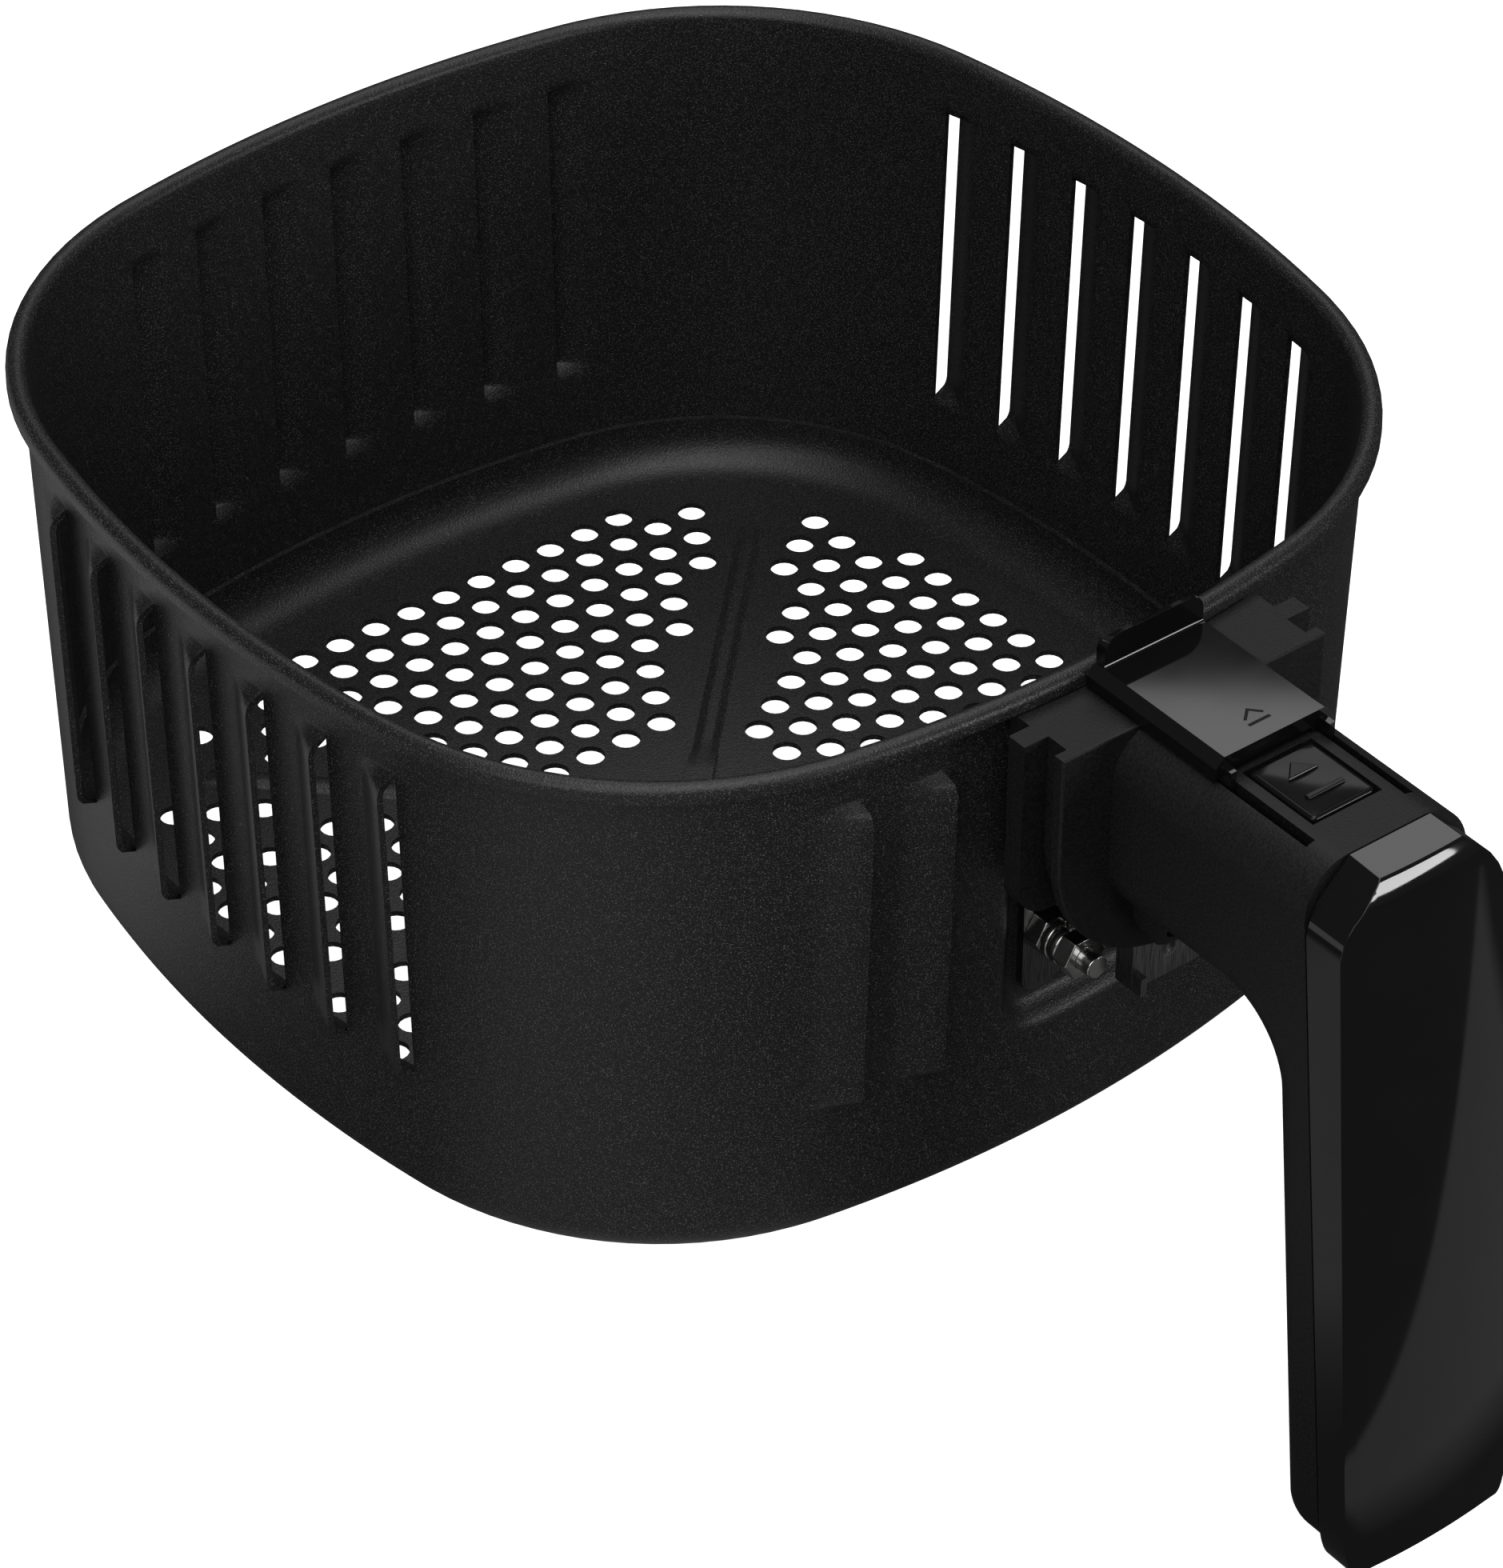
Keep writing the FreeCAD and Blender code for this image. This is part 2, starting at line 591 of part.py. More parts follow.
def floor_holes():
    """Outlines of all holes, row by row on each of the four sides."""
    wires = []
    for side in range(4):
        spin = Rotation(Vector(0, 0, 1), 90 * side)
        for row, row_reach in enumerate(ROW_REACH):
            steps = OUTER_ROW_REACH[side % 2] if row == 0 else row_reach
            out = d.hole_start.value - row * d.hole_row.value
            for number in range(int(2 * steps) + 1):
                place = spin.multVec(Vector(out, (number - steps) * d.hole_pitch.value, 0))
                wires.append(hole_wire(place.x, place.y))
    return wires


dish_inset = d.sheet + d.dish_play
dish_outside = basket_form("dish_outside", sized(0), d.dish_top, dish_inset, d.dish_bend)
over_dish = d.dish_top + d.sheet
dish_inside = basket_form("dish_inside", d.sheet, over_dish, dish_inset + d.sheet, d.dish_bend - d.sheet)
floor_room = new_body("floor_room")
floor_outline = new_sketch(floor_room, "floor_outline", "XY_Plane", -d.sheet)
rounded_square(floor_outline, wall_inset(sized(0)) + dish_inset + d.dish_bend)
pad(floor_room, floor_outline, d.sheet * 3)
dish_edge = cut("dish_edge", dish_outside, [dish_inside, floor_room])
doc.recompute()
floor_edge = floor_outline.Shape.Wires[0].translated(Vector(0, 0, d.sheet.value))
holed = Part.Face(floor_edge)
holed.cutHoles(floor_holes())
floor_plate = doc.addObject("Part::Feature", "floor_plate")
floor_plate.Shape = holed.extrude(Vector(0, 0, d.sheet.value))

boss = doc.addObject("Part::Cone", "boss")
bind(boss, Radius1=d.boss_radius, Radius2=d.boss_radius - d.boss_rise, Height=d.boss_rise, Place_z=d.sheet)


def floor_rib(name, angle):
    """Raised rib with sloping sides across the whole floor."""
    body = new_body(name)
    section = new_sketch(body, f"{name}_section", "XZ_Plane", -d.rib_end)
    half = d.rib_width / 2
    crest = half - d.rib_rise
    top = d.sheet + d.rib_rise
    outline(section, [(-half, d.sheet), (half, d.sheet), (crest, top), (-crest, top)])
    pad(body, section, d.rib_end * 2)
    body.Placement = Placement(Vector(), Rotation(Vector(0, 0, 1), angle))
    return body


floor_ribs = [floor_rib("rib_one", 45), floor_rib("rib_two", 135)]
basket_floor = fuse("basket_floor", [floor_plate, dish_edge, boss] + floor_ribs)

# Bracket: a plate on the seat with two legs that reach below the block
bracket = new_body("bracket")
bracket_outline = new_sketch(bracket, "bracket_outline", "XZ_Plane", d.seat_reach)
outline(bracket_outline, [(-d.plate_half, d.plate_bottom), (-d.leg_gap, d.plate_bottom),
                          (-d.leg_gap, d.leg_top), (d.leg_gap, d.leg_top),
                          (d.leg_gap, d.plate_bottom), (d.plate_half, d.plate_bottom),
                          (d.plate_half, d.plate_top), (-d.plate_half, d.plate_top)])
pad(bracket, bracket_outline, d.plate)
round_edges(bracket, d.leg_corner, lambda edge: runs_along(edge, 1))
bracket_holes = [rod(f"bracket_hole_{number}", d.bolt_radius, side, -d.seat_reach, level, d.plate)
                 for number, (side, level) in enumerate(wall_bolts)]
wall_bracket = on_handle(cut("wall_bracket", bracket, bracket_holes))


def bolt(name, side, level, end):
    """Bolt with a domed head inside the basket, from the head's top to the thread's end."""
    seat = -d.seat_reach + d.sheet + d.washer
    shank = rod(f"{name}_shank", d.bolt_radius, side, seat, level, end + seat)
    head = doc.addObject("Part::Cone", f"{name}_head")
    head.Placement = Placement(Vector(), Rotation(Vector(1, 0, 0), -90))
    bind(head, Radius1=d.head_radius, Radius2=d.head_crown, Height=d.head_height)
    bind(head, Place_x=side, Place_y=seat, Place_z=level)
    return fuse(name, [shank, head])


def ring(name, radius, side, start, level, length, inner):
    """Washer or nut blank with its bore, starting at a reach."""
    disc = rod(f"{name}_disc", radius, side, -start, level, length)
    return cut(name, disc, [rod(f"{name}_bore", inner, side, -start, level, length)])


def nut(name, blank, side, start, level):
    return cut(name, blank, [rod(f"{name}_bore", d.bolt_radius, side, -start, level, d.nut_height)])


leg_places = bolt_places(d.bolt_side, d.bolt_level)
anchor_places = bolt_places(d.anchor_side, d.anchor_level)
bracket_front = d.seat_reach + d.plate
inside = d.seat_reach - d.sheet - d.washer

bracket_bolts = on_handle(group("bracket_bolts", [
    bolt(f"leg_bolt_{number}", side, level, d.bolt_end)
    for number, (side, level) in enumerate(leg_places)]))
block_bolts = on_handle(group("block_bolts", [
    bolt(f"anchor_bolt_{number}", side, level, d.anchor_end)
    for number, (side, level) in enumerate(anchor_places)]))
bolt_washers = on_handle(group("bolt_washers", [
    ring(f"washer_{number}", d.washer_radius, side, inside, level, d.washer, d.bolt_radius)
    for number, (side, level) in enumerate(leg_places + anchor_places)]))


def leg_nuts(name, start):
    """Hexagon nuts on both bolts of the legs, from a reach."""
    made = []
    for number, (side, level) in enumerate(leg_places):
        blank = hexagon(f"{name}_{number}_blank", d.nut_corner, side, -start, level, d.nut_height)
        made.append(nut(f"{name}_{number}", blank, side, start, level))
    return on_handle(group(name, made))


inner_nuts = leg_nuts("inner_nuts", bracket_front)
first_split = bracket_front + d.nut_height
outer_nuts = leg_nuts("outer_nuts", first_split + d.split_step + d.split_height)


def split_washer(name, side, start, level):
    """Spring washer: a ring cut open on its upper side."""
    blank = ring(f"{name}_ring", d.split_radius, side, start, level, d.split_height, d.bolt_radius)
    half = d.split_gap / 2
    slit = box(f"{name}_slit", (side - half, side + half), reach(start, start + d.split_height),
               (level, level + d.split_radius))
    return cut(name, blank, [slit])


spring_washers = on_handle(group("spring_washers", [
    split_washer(f"split_{number}_{order}", side, first_split + d.split_step * order, level)
    for number, (side, level) in enumerate(leg_places) for order in range(2)]))


def tongue(name, half, low, start, end):
    """Plate between two reaches with a straight top and a half-round lower end."""
    body = new_body(name)
    face = new_sketch(body, f"{name}_face", "XZ_Plane", start)
    outline(face, [(-half, low), (half, low), (half, d.top_level), (-half, d.top_level)])
    pad(body, face, end - start)
    round_edges(body, half - d.flange_flat,
                lambda edge: runs_along(edge, 1) and near(edge.BoundBox.ZMin, low))
    return body


# Block: a back that rests on the bracket, a plate with the two teeth, and a core that the flange closes
tooth_plate = new_body("tooth_plate")
tooth_face = new_sketch(tooth_plate, "tooth_face", "XZ_Plane", d.tooth_back)
outline(tooth_face, [(-d.tooth_half, d.tooth_bottom), (d.tooth_half, d.tooth_bottom),
                     (d.tooth_half, d.top_level), (-d.tooth_half, d.top_level)])
pad(tooth_plate, tooth_face, d.tooth_front - d.tooth_back)
round_edges(tooth_plate, d.tooth_corner,
            lambda edge: runs_along(edge, 1) and near(edge.BoundBox.ZMin, d.tooth_bottom))

block_back = box("block_back", sides(d.block_half), reach(d.block_back, d.tooth_back),
                 (d.tooth_bottom, d.top_level))
block_pad = box("block_pad", sides(d.pad_half), reach(bracket_front, d.block_back),
                (d.pad_bottom, d.pad_top))
core_bottom = d.flange_bottom + d.flange_half - d.core_half
block_core = tongue("block_core", d.core_half, core_bottom, d.tooth_front, d.flange_back)
catch_well = box("catch_well", sides(d.catch_half), reach(d.catch_back, d.flange_back),
                 (0, d.catch_top))


def square_blank(name, side, level):
    """Block of a square nut, which is also the pocket that holds it."""
    half = d.anchor_nut
    return box(name, (side - half, side + half), reach(d.nut_start, d.nut_start + d.nut_height),
               (level - half, level + half))


block_tools = [catch_well]
screw_places = bolt_places(d.screw_side, d.screw_low, d.screw_high)
for number, (side, level) in enumerate(anchor_places):
    block_tools.append(rod(f"block_bore_{number}", d.bolt_radius, side, -bracket_front, level,
                           d.anchor_end - bracket_front))
    block_tools.append(square_blank(f"nut_pocket_{number}", side, level))
for number, (side, level) in enumerate(screw_places):
    block_tools.append(rod(f"block_screw_bore_{number}", d.screw_radius, side, -d.block_back, level,
                           d.flange_back - d.block_back))
    block_tools.append(rod(f"block_screw_well_{number}", d.screw_head, side, -bracket_front, level,
                           d.block_back - bracket_front + d.screw_head_height))
block_form = fuse("block_form", [tooth_plate, block_back, block_pad, block_core])
mount_block = on_handle(cut("mount_block", block_form, block_tools))

square_nuts = []
for number, (side, level) in enumerate(anchor_places):
    blank = square_blank(f"square_nut_{number}_blank", side, level)
    square_nuts.append(nut(f"square_nut_{number}", blank, side, d.nut_start, level))
block_nuts = on_handle(group("block_nuts", square_nuts))


def screw(name, side, start, level, length):
    """Pan head screw whose head starts at a reach."""
    head = rod(f"{name}_head", d.screw_head, side, -start, level, d.screw_head_height)
    return fuse(name, [head, rod(f"{name}_shank", d.screw_radius, side, -start, level, length)])


housing_screws = on_handle(group("housing_screws", [
    screw(f"housing_screw_{number}", side, d.block_back, level, d.screw_tip - d.block_back)
    for number, (side, level) in enumerate(screw_places)]))

# Handle: the side view of neck and grip, then its rounded edges
handle = new_body("handle")
handle_side = new_sketch(handle, "handle_side", "YZ_Plane")
root = -(d.flange_back + d.flange_front) / 2
outline(handle_side, [(root, d.neck_bottom), (root, d.top_level), (-d.crown_reach, d.top_level),
                      (-d.waist_reach, d.waist_level), (-d.toe_reach, d.grip_bottom),
                      (-d.heel_reach, d.grip_bottom), (-d.crook_reach, d.neck_bottom)])
pad(handle, handle_side, d.neck_half * 2, both_ways=True)


def crosses(edge, y, z):
    """An edge that runs along X through a place of the side view."""
    middle = edge.BoundBox.Center
    return runs_along(edge, 0) and near(middle.y, y) and near(middle.z, z)


round_edges(handle, d.crook_radius, lambda edge: crosses(edge, -d.crook_reach, d.neck_bottom))
round_edges(handle, d.hollow_radius, lambda edge: crosses(edge, -d.waist_reach, d.waist_level))
round_edges(handle, d.shoulder_radius,
            lambda edge: runs_along(edge, 1) and near(edge.BoundBox.ZMax, d.top_level))
round_edges(handle, d.foot_radius,
            lambda edge: runs_along(edge, 1) and near(edge.BoundBox.ZMax, d.grip_bottom))


def on_palm(edge):
    """The lower long edges of the neck, from which the round runs on over the finger side."""
    return runs_along(edge, 1) and near(edge.BoundBox.ZMax, d.neck_bottom)


round_edges(handle, d.palm_radius, on_palm)


def on_front(edge):
    """The upper edge of the grip's front, from which the round runs on round the whole front."""
    return crosses(edge, -d.crown_reach, d.top_level)


round_edges(handle, d.rim_radius, on_front)


def parting_tool(name, gap):
    """Everything in front of the sloping parting of the grip, moved out by a gap."""
    body = new_body(name)
    side = new_sketch(body, f"{name}_side", "YZ_Plane")
    foot = d.grip_bottom * 2
    head = d.top_level * 2
    outline(side, [(foot * d.parting_lean - d.parting_reach - gap, foot), (-d.toe_reach * 2, foot),
                   (-d.toe_reach * 2, head), (head * d.parting_lean - d.parting_reach - gap, head)])
    pad(body, side, d.neck_half * 4, both_ways=True)
    return body


def parting(level):
    """Reach of the housing's parting face at a height."""
    return d.parting_reach - level * d.parting_lean


cover_places = (("upper", d.cover_screw_high), ("lower", d.cover_screw_low))
cover_form = doc.addObject("Part::Common", "cover_form")
cover_form.Base = handle
cover_form.Tool = parting_tool("cover_side", d.parting_gap)
cover_cuts = []
cover_posts = []
screw_wells = []
cover_screw_list = []
post_length = d.post_radius + d.parting_gap + d.parting_lean * d.post_radius
for tag, level in cover_places:
    face = parting(level)
    start = face - d.cover_screw_hold
    length = d.cover_screw_hold + d.parting_gap + d.cover_screw_bite
    finger_side = d.crook_reach - d.crook_radius
    cover_cuts.append(rod(f"cover_bore_{tag}", d.screw_radius, 0, -start, level, length))
    post_start = d.post_radius - face
    cover_cuts.append(rod(f"cover_socket_{tag}", d.post_radius, 0, post_start, level, post_length))
    cover_posts.append(rod(f"cover_post_{tag}", d.post_radius, 0, post_start, level, post_length))
    screw_wells.append(rod(f"cover_well_{tag}", d.screw_head, 0, -finger_side, level,
                           start + d.screw_head_height - finger_side))
    screw_wells.append(rod(f"cover_shank_{tag}", d.screw_radius, 0, -start, level, length))
    cover_screw_list.append(screw(f"cover_screw_{tag}", sized(0), start, level, length))
grip_cover = on_handle(cut("grip_cover", cover_form, cover_cuts))
cover_screws = on_handle(group("cover_screws", cover_screw_list))

# Housing: flange, neck, collar and the inner half of the grip, with the room of the lever
housing_half = cut("housing_half", handle, [parting_tool("housing_side", sized(0))])
flange = tongue("flange", d.flange_half, d.flange_bottom, d.flange_back, d.flange_front)
round_edges(flange, d.flange_edge, lambda edge: near(edge.BoundBox.YMax, -d.flange_front))


def collar_form(name, wall, start):
    """Half-round collar under the neck, which slopes back up to the neck, or the hollow inside its wall."""
    body = new_body(name)
    side = new_sketch(body, f"{name}_side", "YZ_Plane")
    bottom = d.collar_bottom + wall
    top = d.neck_bottom + d.palm_radius
    outline(side, [(-start, bottom), (-start, top), (-start - d.collar_depth - wall, top),
                   (-start - d.collar_foot - wall, bottom)])
    pad(body, side, (d.collar_half - wall) * 2, both_ways=True)
    round_edges(body, d.collar_round - wall,
                lambda edge: near(edge.BoundBox.ZMax, bottom) and not runs_along(edge, 0))
    return body


collar = collar_form("collar", sized(0), d.flange_back)
scoop = collar_form("scoop", d.collar_wall, d.flange_front)
lever_room = box("lever_room", sides(d.well_half), reach(d.flange_back, d.well_end),
                 (d.well_floor, d.well_roof))
button_room = box("button_room", sides(d.button_half + d.button_play),
                  reach(d.button_start - d.button_play, d.button_end + d.button_play),
                  (d.well_floor, d.top_level + d.sheet))
slots = [box(f"slot_{tag}", (middle - d.slot_width / 2, middle + d.slot_width / 2),
             reach(d.slot_start, d.slot_end), (d.runner_bottom, d.top_level + d.sheet))
         for tag, middle in (("left", -d.slot_side), ("right", d.slot_side))]
pin_bore = rod("pin_bore", d.pin_radius, -d.pin_half, -d.pin_reach, d.pin_level,
               d.pin_half * 2, axis="x")
screw_bores = [rod(f"housing_bore_{number}", d.screw_radius, side, -d.flange_back, level,
                   d.screw_tip - d.flange_back) for number, (side, level) in enumerate(screw_places)]
housing_form = fuse("housing_form", [housing_half, flange, collar] + cover_posts)
housing_tools = [lever_room, button_room, pin_bore, scoop] + slots + screw_bores + screw_wells
handle_housing = on_handle(cut("handle_housing", housing_form, housing_tools))

# Slide: a plate with bevelled sides and an upright lip, on two runners with feet
guard = new_body("guard")
guard_section = new_sketch(guard, "guard_section", "XZ_Plane", d.guard_back)
guard_bottom = d.top_level + d.guard_gap
bevel_side = d.guard_top - d.guard_bevel
bevel_top = d.guard_half - d.guard_bevel
outline(guard_section, [(-d.guard_half, guard_bottom), (d.guard_half, guard_bottom),
                        (d.guard_half, bevel_side), (bevel_top, d.guard_top),
                        (-bevel_top, d.guard_top), (-d.guard_half, bevel_side)])
pad(guard, guard_section, d.guard_front - d.guard_back)

lip = new_body("lip")
lip_side = new_sketch(lip, "lip_side", "YZ_Plane")
lip_face = -d.guard_back - d.lip_wall
outline(lip_side, [(-d.guard_back, guard_bottom), (-d.guard_back, d.lip_top), (lip_face, d.lip_top),
                   (lip_face, d.guard_top), (lip_face - d.lip_foot, d.guard_top),
                   (lip_face - d.lip_foot, guard_bottom)])
pad(lip, lip_side, d.lip_half * 2, both_ways=True)
round_edges(lip, d.lip_bend, lambda edge: crosses(edge, lip_face, d.guard_top))
round_edges(lip, d.lip_corner, lambda edge: runs_along(edge, 1) and near(edge.BoundBox.ZMax, d.lip_top))
guard_hollow = box("guard_hollow", sides(d.guard_hollow_half),
                   reach(d.guard_back + d.lip_wall, d.guard_front + d.lip_wall),
                   (d.top_level, d.top_level + d.guard_hollow))
guard_plate = cut("guard_plate", fuse("guard_form", [guard, lip]), [guard_hollow])
runners = []
for tag, sign in (("left", -1), ("right", 1)):
    middle = sign * d.slot_side
    runners.append(box(f"runner_{tag}", (middle - d.runner / 2, middle + d.runner / 2),
                       reach(d.runner_start, d.runner_end), (d.runner_bottom, bevel_side)))
    edge = middle + sign * d.runner / 2
    foot = (edge, edge + d.runner_foot) if sign > 0 else (edge - d.runner_foot, edge)
    runners.append(box(f"foot_{tag}", foot, reach(d.runner_start, d.runner_end),
                       (d.runner_bottom, d.well_roof - d.flange_play)))
slide_guard = on_handle(fuse("slide_guard", [guard_plate] + runners))

# Button: a square cap with a rim under the roof of its room and a stem on the lever
cap = new_body("cap")
rim_top = d.well_roof - d.flange_play
cap_outline = new_sketch(cap, "cap_outline", "XY_Plane", rim_top)
outline(cap_outline, [(-d.button_half, -d.button_end), (d.button_half, -d.button_end),
                      (d.button_half, -d.button_start), (-d.button_half, -d.button_start)])
pad(cap, cap_outline, d.top_level + d.button_proud - rim_top)
round_edges(cap, d.button_corner, lambda edge: runs_along(edge, 2))
round_edges(cap, d.button_edge, lambda edge: near(edge.BoundBox.ZMin, d.top_level + d.button_proud))
button_rim = box("button_rim", sides(d.button_half + d.skirt),
                 reach(d.button_start - d.skirt, d.button_end + d.skirt), (rim_top - d.skirt_height, rim_top))
button_stem = box("button_stem", sides(d.stem_width / 2),
                  reach(d.button_rest - d.stem_half, d.button_rest + d.stem_half),
                  (d.lever_top + d.flange_play, rim_top))
release_button = on_handle(fuse("release_button", [cap, button_rim, button_stem]))

# Lever: a bent channel, with a tongue under the button, two hanging arms and their hooks
crank = new_body("crank")
crank_side = new_sketch(crank, "crank_side", "YZ_Plane")
outline(crank_side, [(-d.lever_back, d.lever_bottom), (-d.lever_back, d.lever_top),
                     (-d.lever_end, d.lever_top), (-d.lever_end, d.lever_top - d.lever_tip),
                     (-d.pin_reach - d.elbow_out, d.elbow_level),
                     (-d.pin_reach + d.elbow_in, d.elbow_level),
                     (-d.lever_front, d.elbow_level - d.elbow_in),
                     (-d.lever_front, d.lever_bottom + d.hook_height),
                     (-d.hook_reach, d.lever_bottom + d.hook_height), (-d.hook_reach, d.lever_bottom)])
pad(crank, crank_side, d.lever_half * 2, both_ways=True)
channel = box("channel", sides(d.lever_half - d.lever_sheet),
              reach(d.lever_back + d.lever_sheet, d.lever_end * 2), (0, d.lever_top - d.lever_sheet))
lever_bore = rod("lever_bore", d.pin_radius + d.pin_play, -d.lever_half, -d.pin_reach, d.pin_level,
                 d.lever_half * 2, axis="x")
latch_lever = on_handle(cut("latch_lever", crank, [channel, lever_bore]))
latch_pin = rod("latch_pin", d.pin_radius, d.handle_offset - d.pin_half, -d.pin_reach, d.pin_level,
                d.pin_half * 2, axis="x")


spring_low = d.well_floor.value + d.spring_wire.value
spring_rise = d.lever_top.value - d.lever_sheet.value - d.spring_wire.value - spring_low


def coil_point(turn):
    """Place on the spring's wire after a number of turns."""
    angle = 2 * math.pi * turn
    radius = d.spring_radius.value
    height = spring_low + spring_rise * turn / d.spring_turns.value
    return Vector(radius * math.cos(angle), radius * math.sin(angle), height)


QUARTER = 0.25
arcs = []
for step in range(int(d.spring_turns.value / QUARTER)):
    through = [coil_point(QUARTER * (step + share)) for share in (0, 0.5, 1)]
    arcs.append(Part.Arc(*through).toShape())
coil = Part.Wire(arcs)
heading = arcs[0].tangentAt(arcs[0].FirstParameter)
wire_round = Part.Wire(Part.Circle(coil_point(0), heading, d.spring_wire.value).toShape())
lever_spring = doc.addObject("Part::Feature", "lever_spring")
lever_spring.Shape = coil.makePipeShell([wire_round], True, False)
lever_spring.Placement = Placement(Vector(d.handle_offset.value, -d.button_rest.value, 0), Rotation())
marks = [coil_point(mark / 24) for mark in range(int(24 * d.spring_turns.value) + 1)]
apart = min((first - second).Length for place, first in enumerate(marks) for second in marks[place + 12:])
print(f"least gap of the spring to itself {apart - 2 * d.spring_wire.value:.2f} mm")

NODES = (basket_shell, basket_floor, wall_bracket, bracket_bolts, block_bolts, bolt_washers, inner_nuts,
         spring_washers, outer_nuts, mount_block, block_nuts, housing_screws, handle_housing, grip_cover,
         cover_screws, slide_guard, release_button, latch_lever, latch_pin, lever_spring)
doc.recompute()
for item in doc.Objects:
    if "Invalid" in item.State or "Error" in item.State:
        raise RuntimeError(f"{item.Label} could not be built")
for node in NODES:
    if node.Shape.isNull() or not node.Shape.isValid():
        raise RuntimeError(f"{node.Label} has no valid shape")
os.makedirs("parts", exist_ok=True)
for node in NODES:
    node.Shape.exportStep(f"parts/{node.Label}.step")
    print(f"{node.Label}: {len(node.Shape.Solids)} solids, {node.Shape.Volume:.0f} mm3")
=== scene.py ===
import json
import math

import bmesh
import bpy
from mathutils import Euler, Matrix, Vector

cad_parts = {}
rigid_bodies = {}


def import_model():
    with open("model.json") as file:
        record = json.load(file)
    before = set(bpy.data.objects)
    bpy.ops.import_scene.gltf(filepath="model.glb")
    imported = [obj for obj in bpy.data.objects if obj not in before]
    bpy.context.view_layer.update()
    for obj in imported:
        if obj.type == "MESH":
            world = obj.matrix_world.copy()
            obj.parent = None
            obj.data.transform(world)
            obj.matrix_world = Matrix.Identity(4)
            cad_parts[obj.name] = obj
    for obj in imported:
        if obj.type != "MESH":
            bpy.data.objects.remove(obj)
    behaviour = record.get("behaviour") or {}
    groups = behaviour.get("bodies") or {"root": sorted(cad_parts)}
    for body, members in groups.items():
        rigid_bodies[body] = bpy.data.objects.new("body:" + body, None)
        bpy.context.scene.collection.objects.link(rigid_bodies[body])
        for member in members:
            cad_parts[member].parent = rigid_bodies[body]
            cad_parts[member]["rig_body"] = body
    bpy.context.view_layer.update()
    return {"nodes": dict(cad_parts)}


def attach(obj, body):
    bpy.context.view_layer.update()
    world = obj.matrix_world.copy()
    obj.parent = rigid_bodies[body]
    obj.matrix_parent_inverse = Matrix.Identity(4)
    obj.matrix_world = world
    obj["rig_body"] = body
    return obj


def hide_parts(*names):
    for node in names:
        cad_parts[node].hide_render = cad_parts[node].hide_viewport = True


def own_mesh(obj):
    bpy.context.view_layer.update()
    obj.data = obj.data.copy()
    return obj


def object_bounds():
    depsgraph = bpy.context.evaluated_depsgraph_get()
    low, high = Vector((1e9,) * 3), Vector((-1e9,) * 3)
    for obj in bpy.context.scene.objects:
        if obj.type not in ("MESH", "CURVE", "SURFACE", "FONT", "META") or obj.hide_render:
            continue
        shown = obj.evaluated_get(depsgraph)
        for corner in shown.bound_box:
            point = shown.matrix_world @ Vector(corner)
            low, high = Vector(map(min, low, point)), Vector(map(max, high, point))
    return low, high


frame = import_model()

# The basket's wall: one steel sheet, deep drawn with a little draft, its rim rolled outwards. Tall slits are
# cut into the sides and one lip of each is pushed out as a louvre. A shallow flat is pressed for the handle.
# Inside and out it is sprayed with a black coating whose fine speckle catches the light.
mm = 0.001
half_wide, half_deep = 98.0 * mm, 99.1 * mm
bow_radius, corner_radius = 240 * mm, 62.4 * mm
sheet = 1.0 * mm
weld = 0.01 * mm
rim_top = 91.5 * mm
rim_overhang, rim_depth = 2.4 * mm, 2.9 * mm
draft = math.tan(math.radians(1.53))
foot_drop, foot_bend, foot_lip = 5.1 * mm, 7 * mm, 0.3 * mm
bend_steps, curl_steps, corner_steps = 9, 8, 16
louvre_pitch = 14.35 * mm
louvre_shift = -0.9 * mm
louvre_width = louvre_pitch / 2
louvre_low, louvre_high = 22 * mm, 81 * mm
louvre_rise, louvre_end, louvre_straight = 3.4 * mm, 3.2 * mm, 0.6
steps_per_louvre = 7
side_louvres = range(-3, 4)
front_louvres = (-3, -2)
seat_middle, seat_half_wide = 8.9 * mm, 22.3 * mm
seat_height, seat_half_tall = 51 * mm, 30 * mm
seat_corner, seat_depth, seat_edge = 8 * mm, 91.5 * mm, 4 * mm


def smooth_step(value):
    value = min(max(value, 0), 1)
    return value * value * (3 - 2 * value)


# A corner's middle lies where both neighbouring sides, drawn in by the difference of the radii, meet.
reach = bow_radius - corner_radius
back_x, back_y = bow_radius - half_wide, bow_radius - half_deep
span = math.hypot(back_x, back_y)
rise = math.sqrt(reach ** 2 - (span / 2) ** 2)
corner_x = rise * back_y / span - back_x / 2
corner_y = rise * back_x / span - back_y / 2
# The four walls, anticlockwise from the right: outward axis, half size, and the corner's middle on both axes.
walls = (
    (Vector((1, 0, 0)), half_wide, corner_x, corner_y),
    (Vector((0, 1, 0)), half_deep, corner_y, corner_x),
    (Vector((-1, 0, 0)), half_wide, corner_x, corner_y),
    (Vector((0, -1, 0)), half_deep, corner_y, corner_x),
)
front_wall = 3
first_along = side_louvres[0] * louvre_pitch + louvre_shift - louvre_width / 2
column_step = louvre_width / steps_per_louvre
side_columns = 2 * steps_per_louvre * (len(side_louvres) - 1) + steps_per_louvre
last_along = first_along + side_columns * column_step
columns_per_wall = side_columns + corner_steps
wall_columns = columns_per_wall * len(walls)


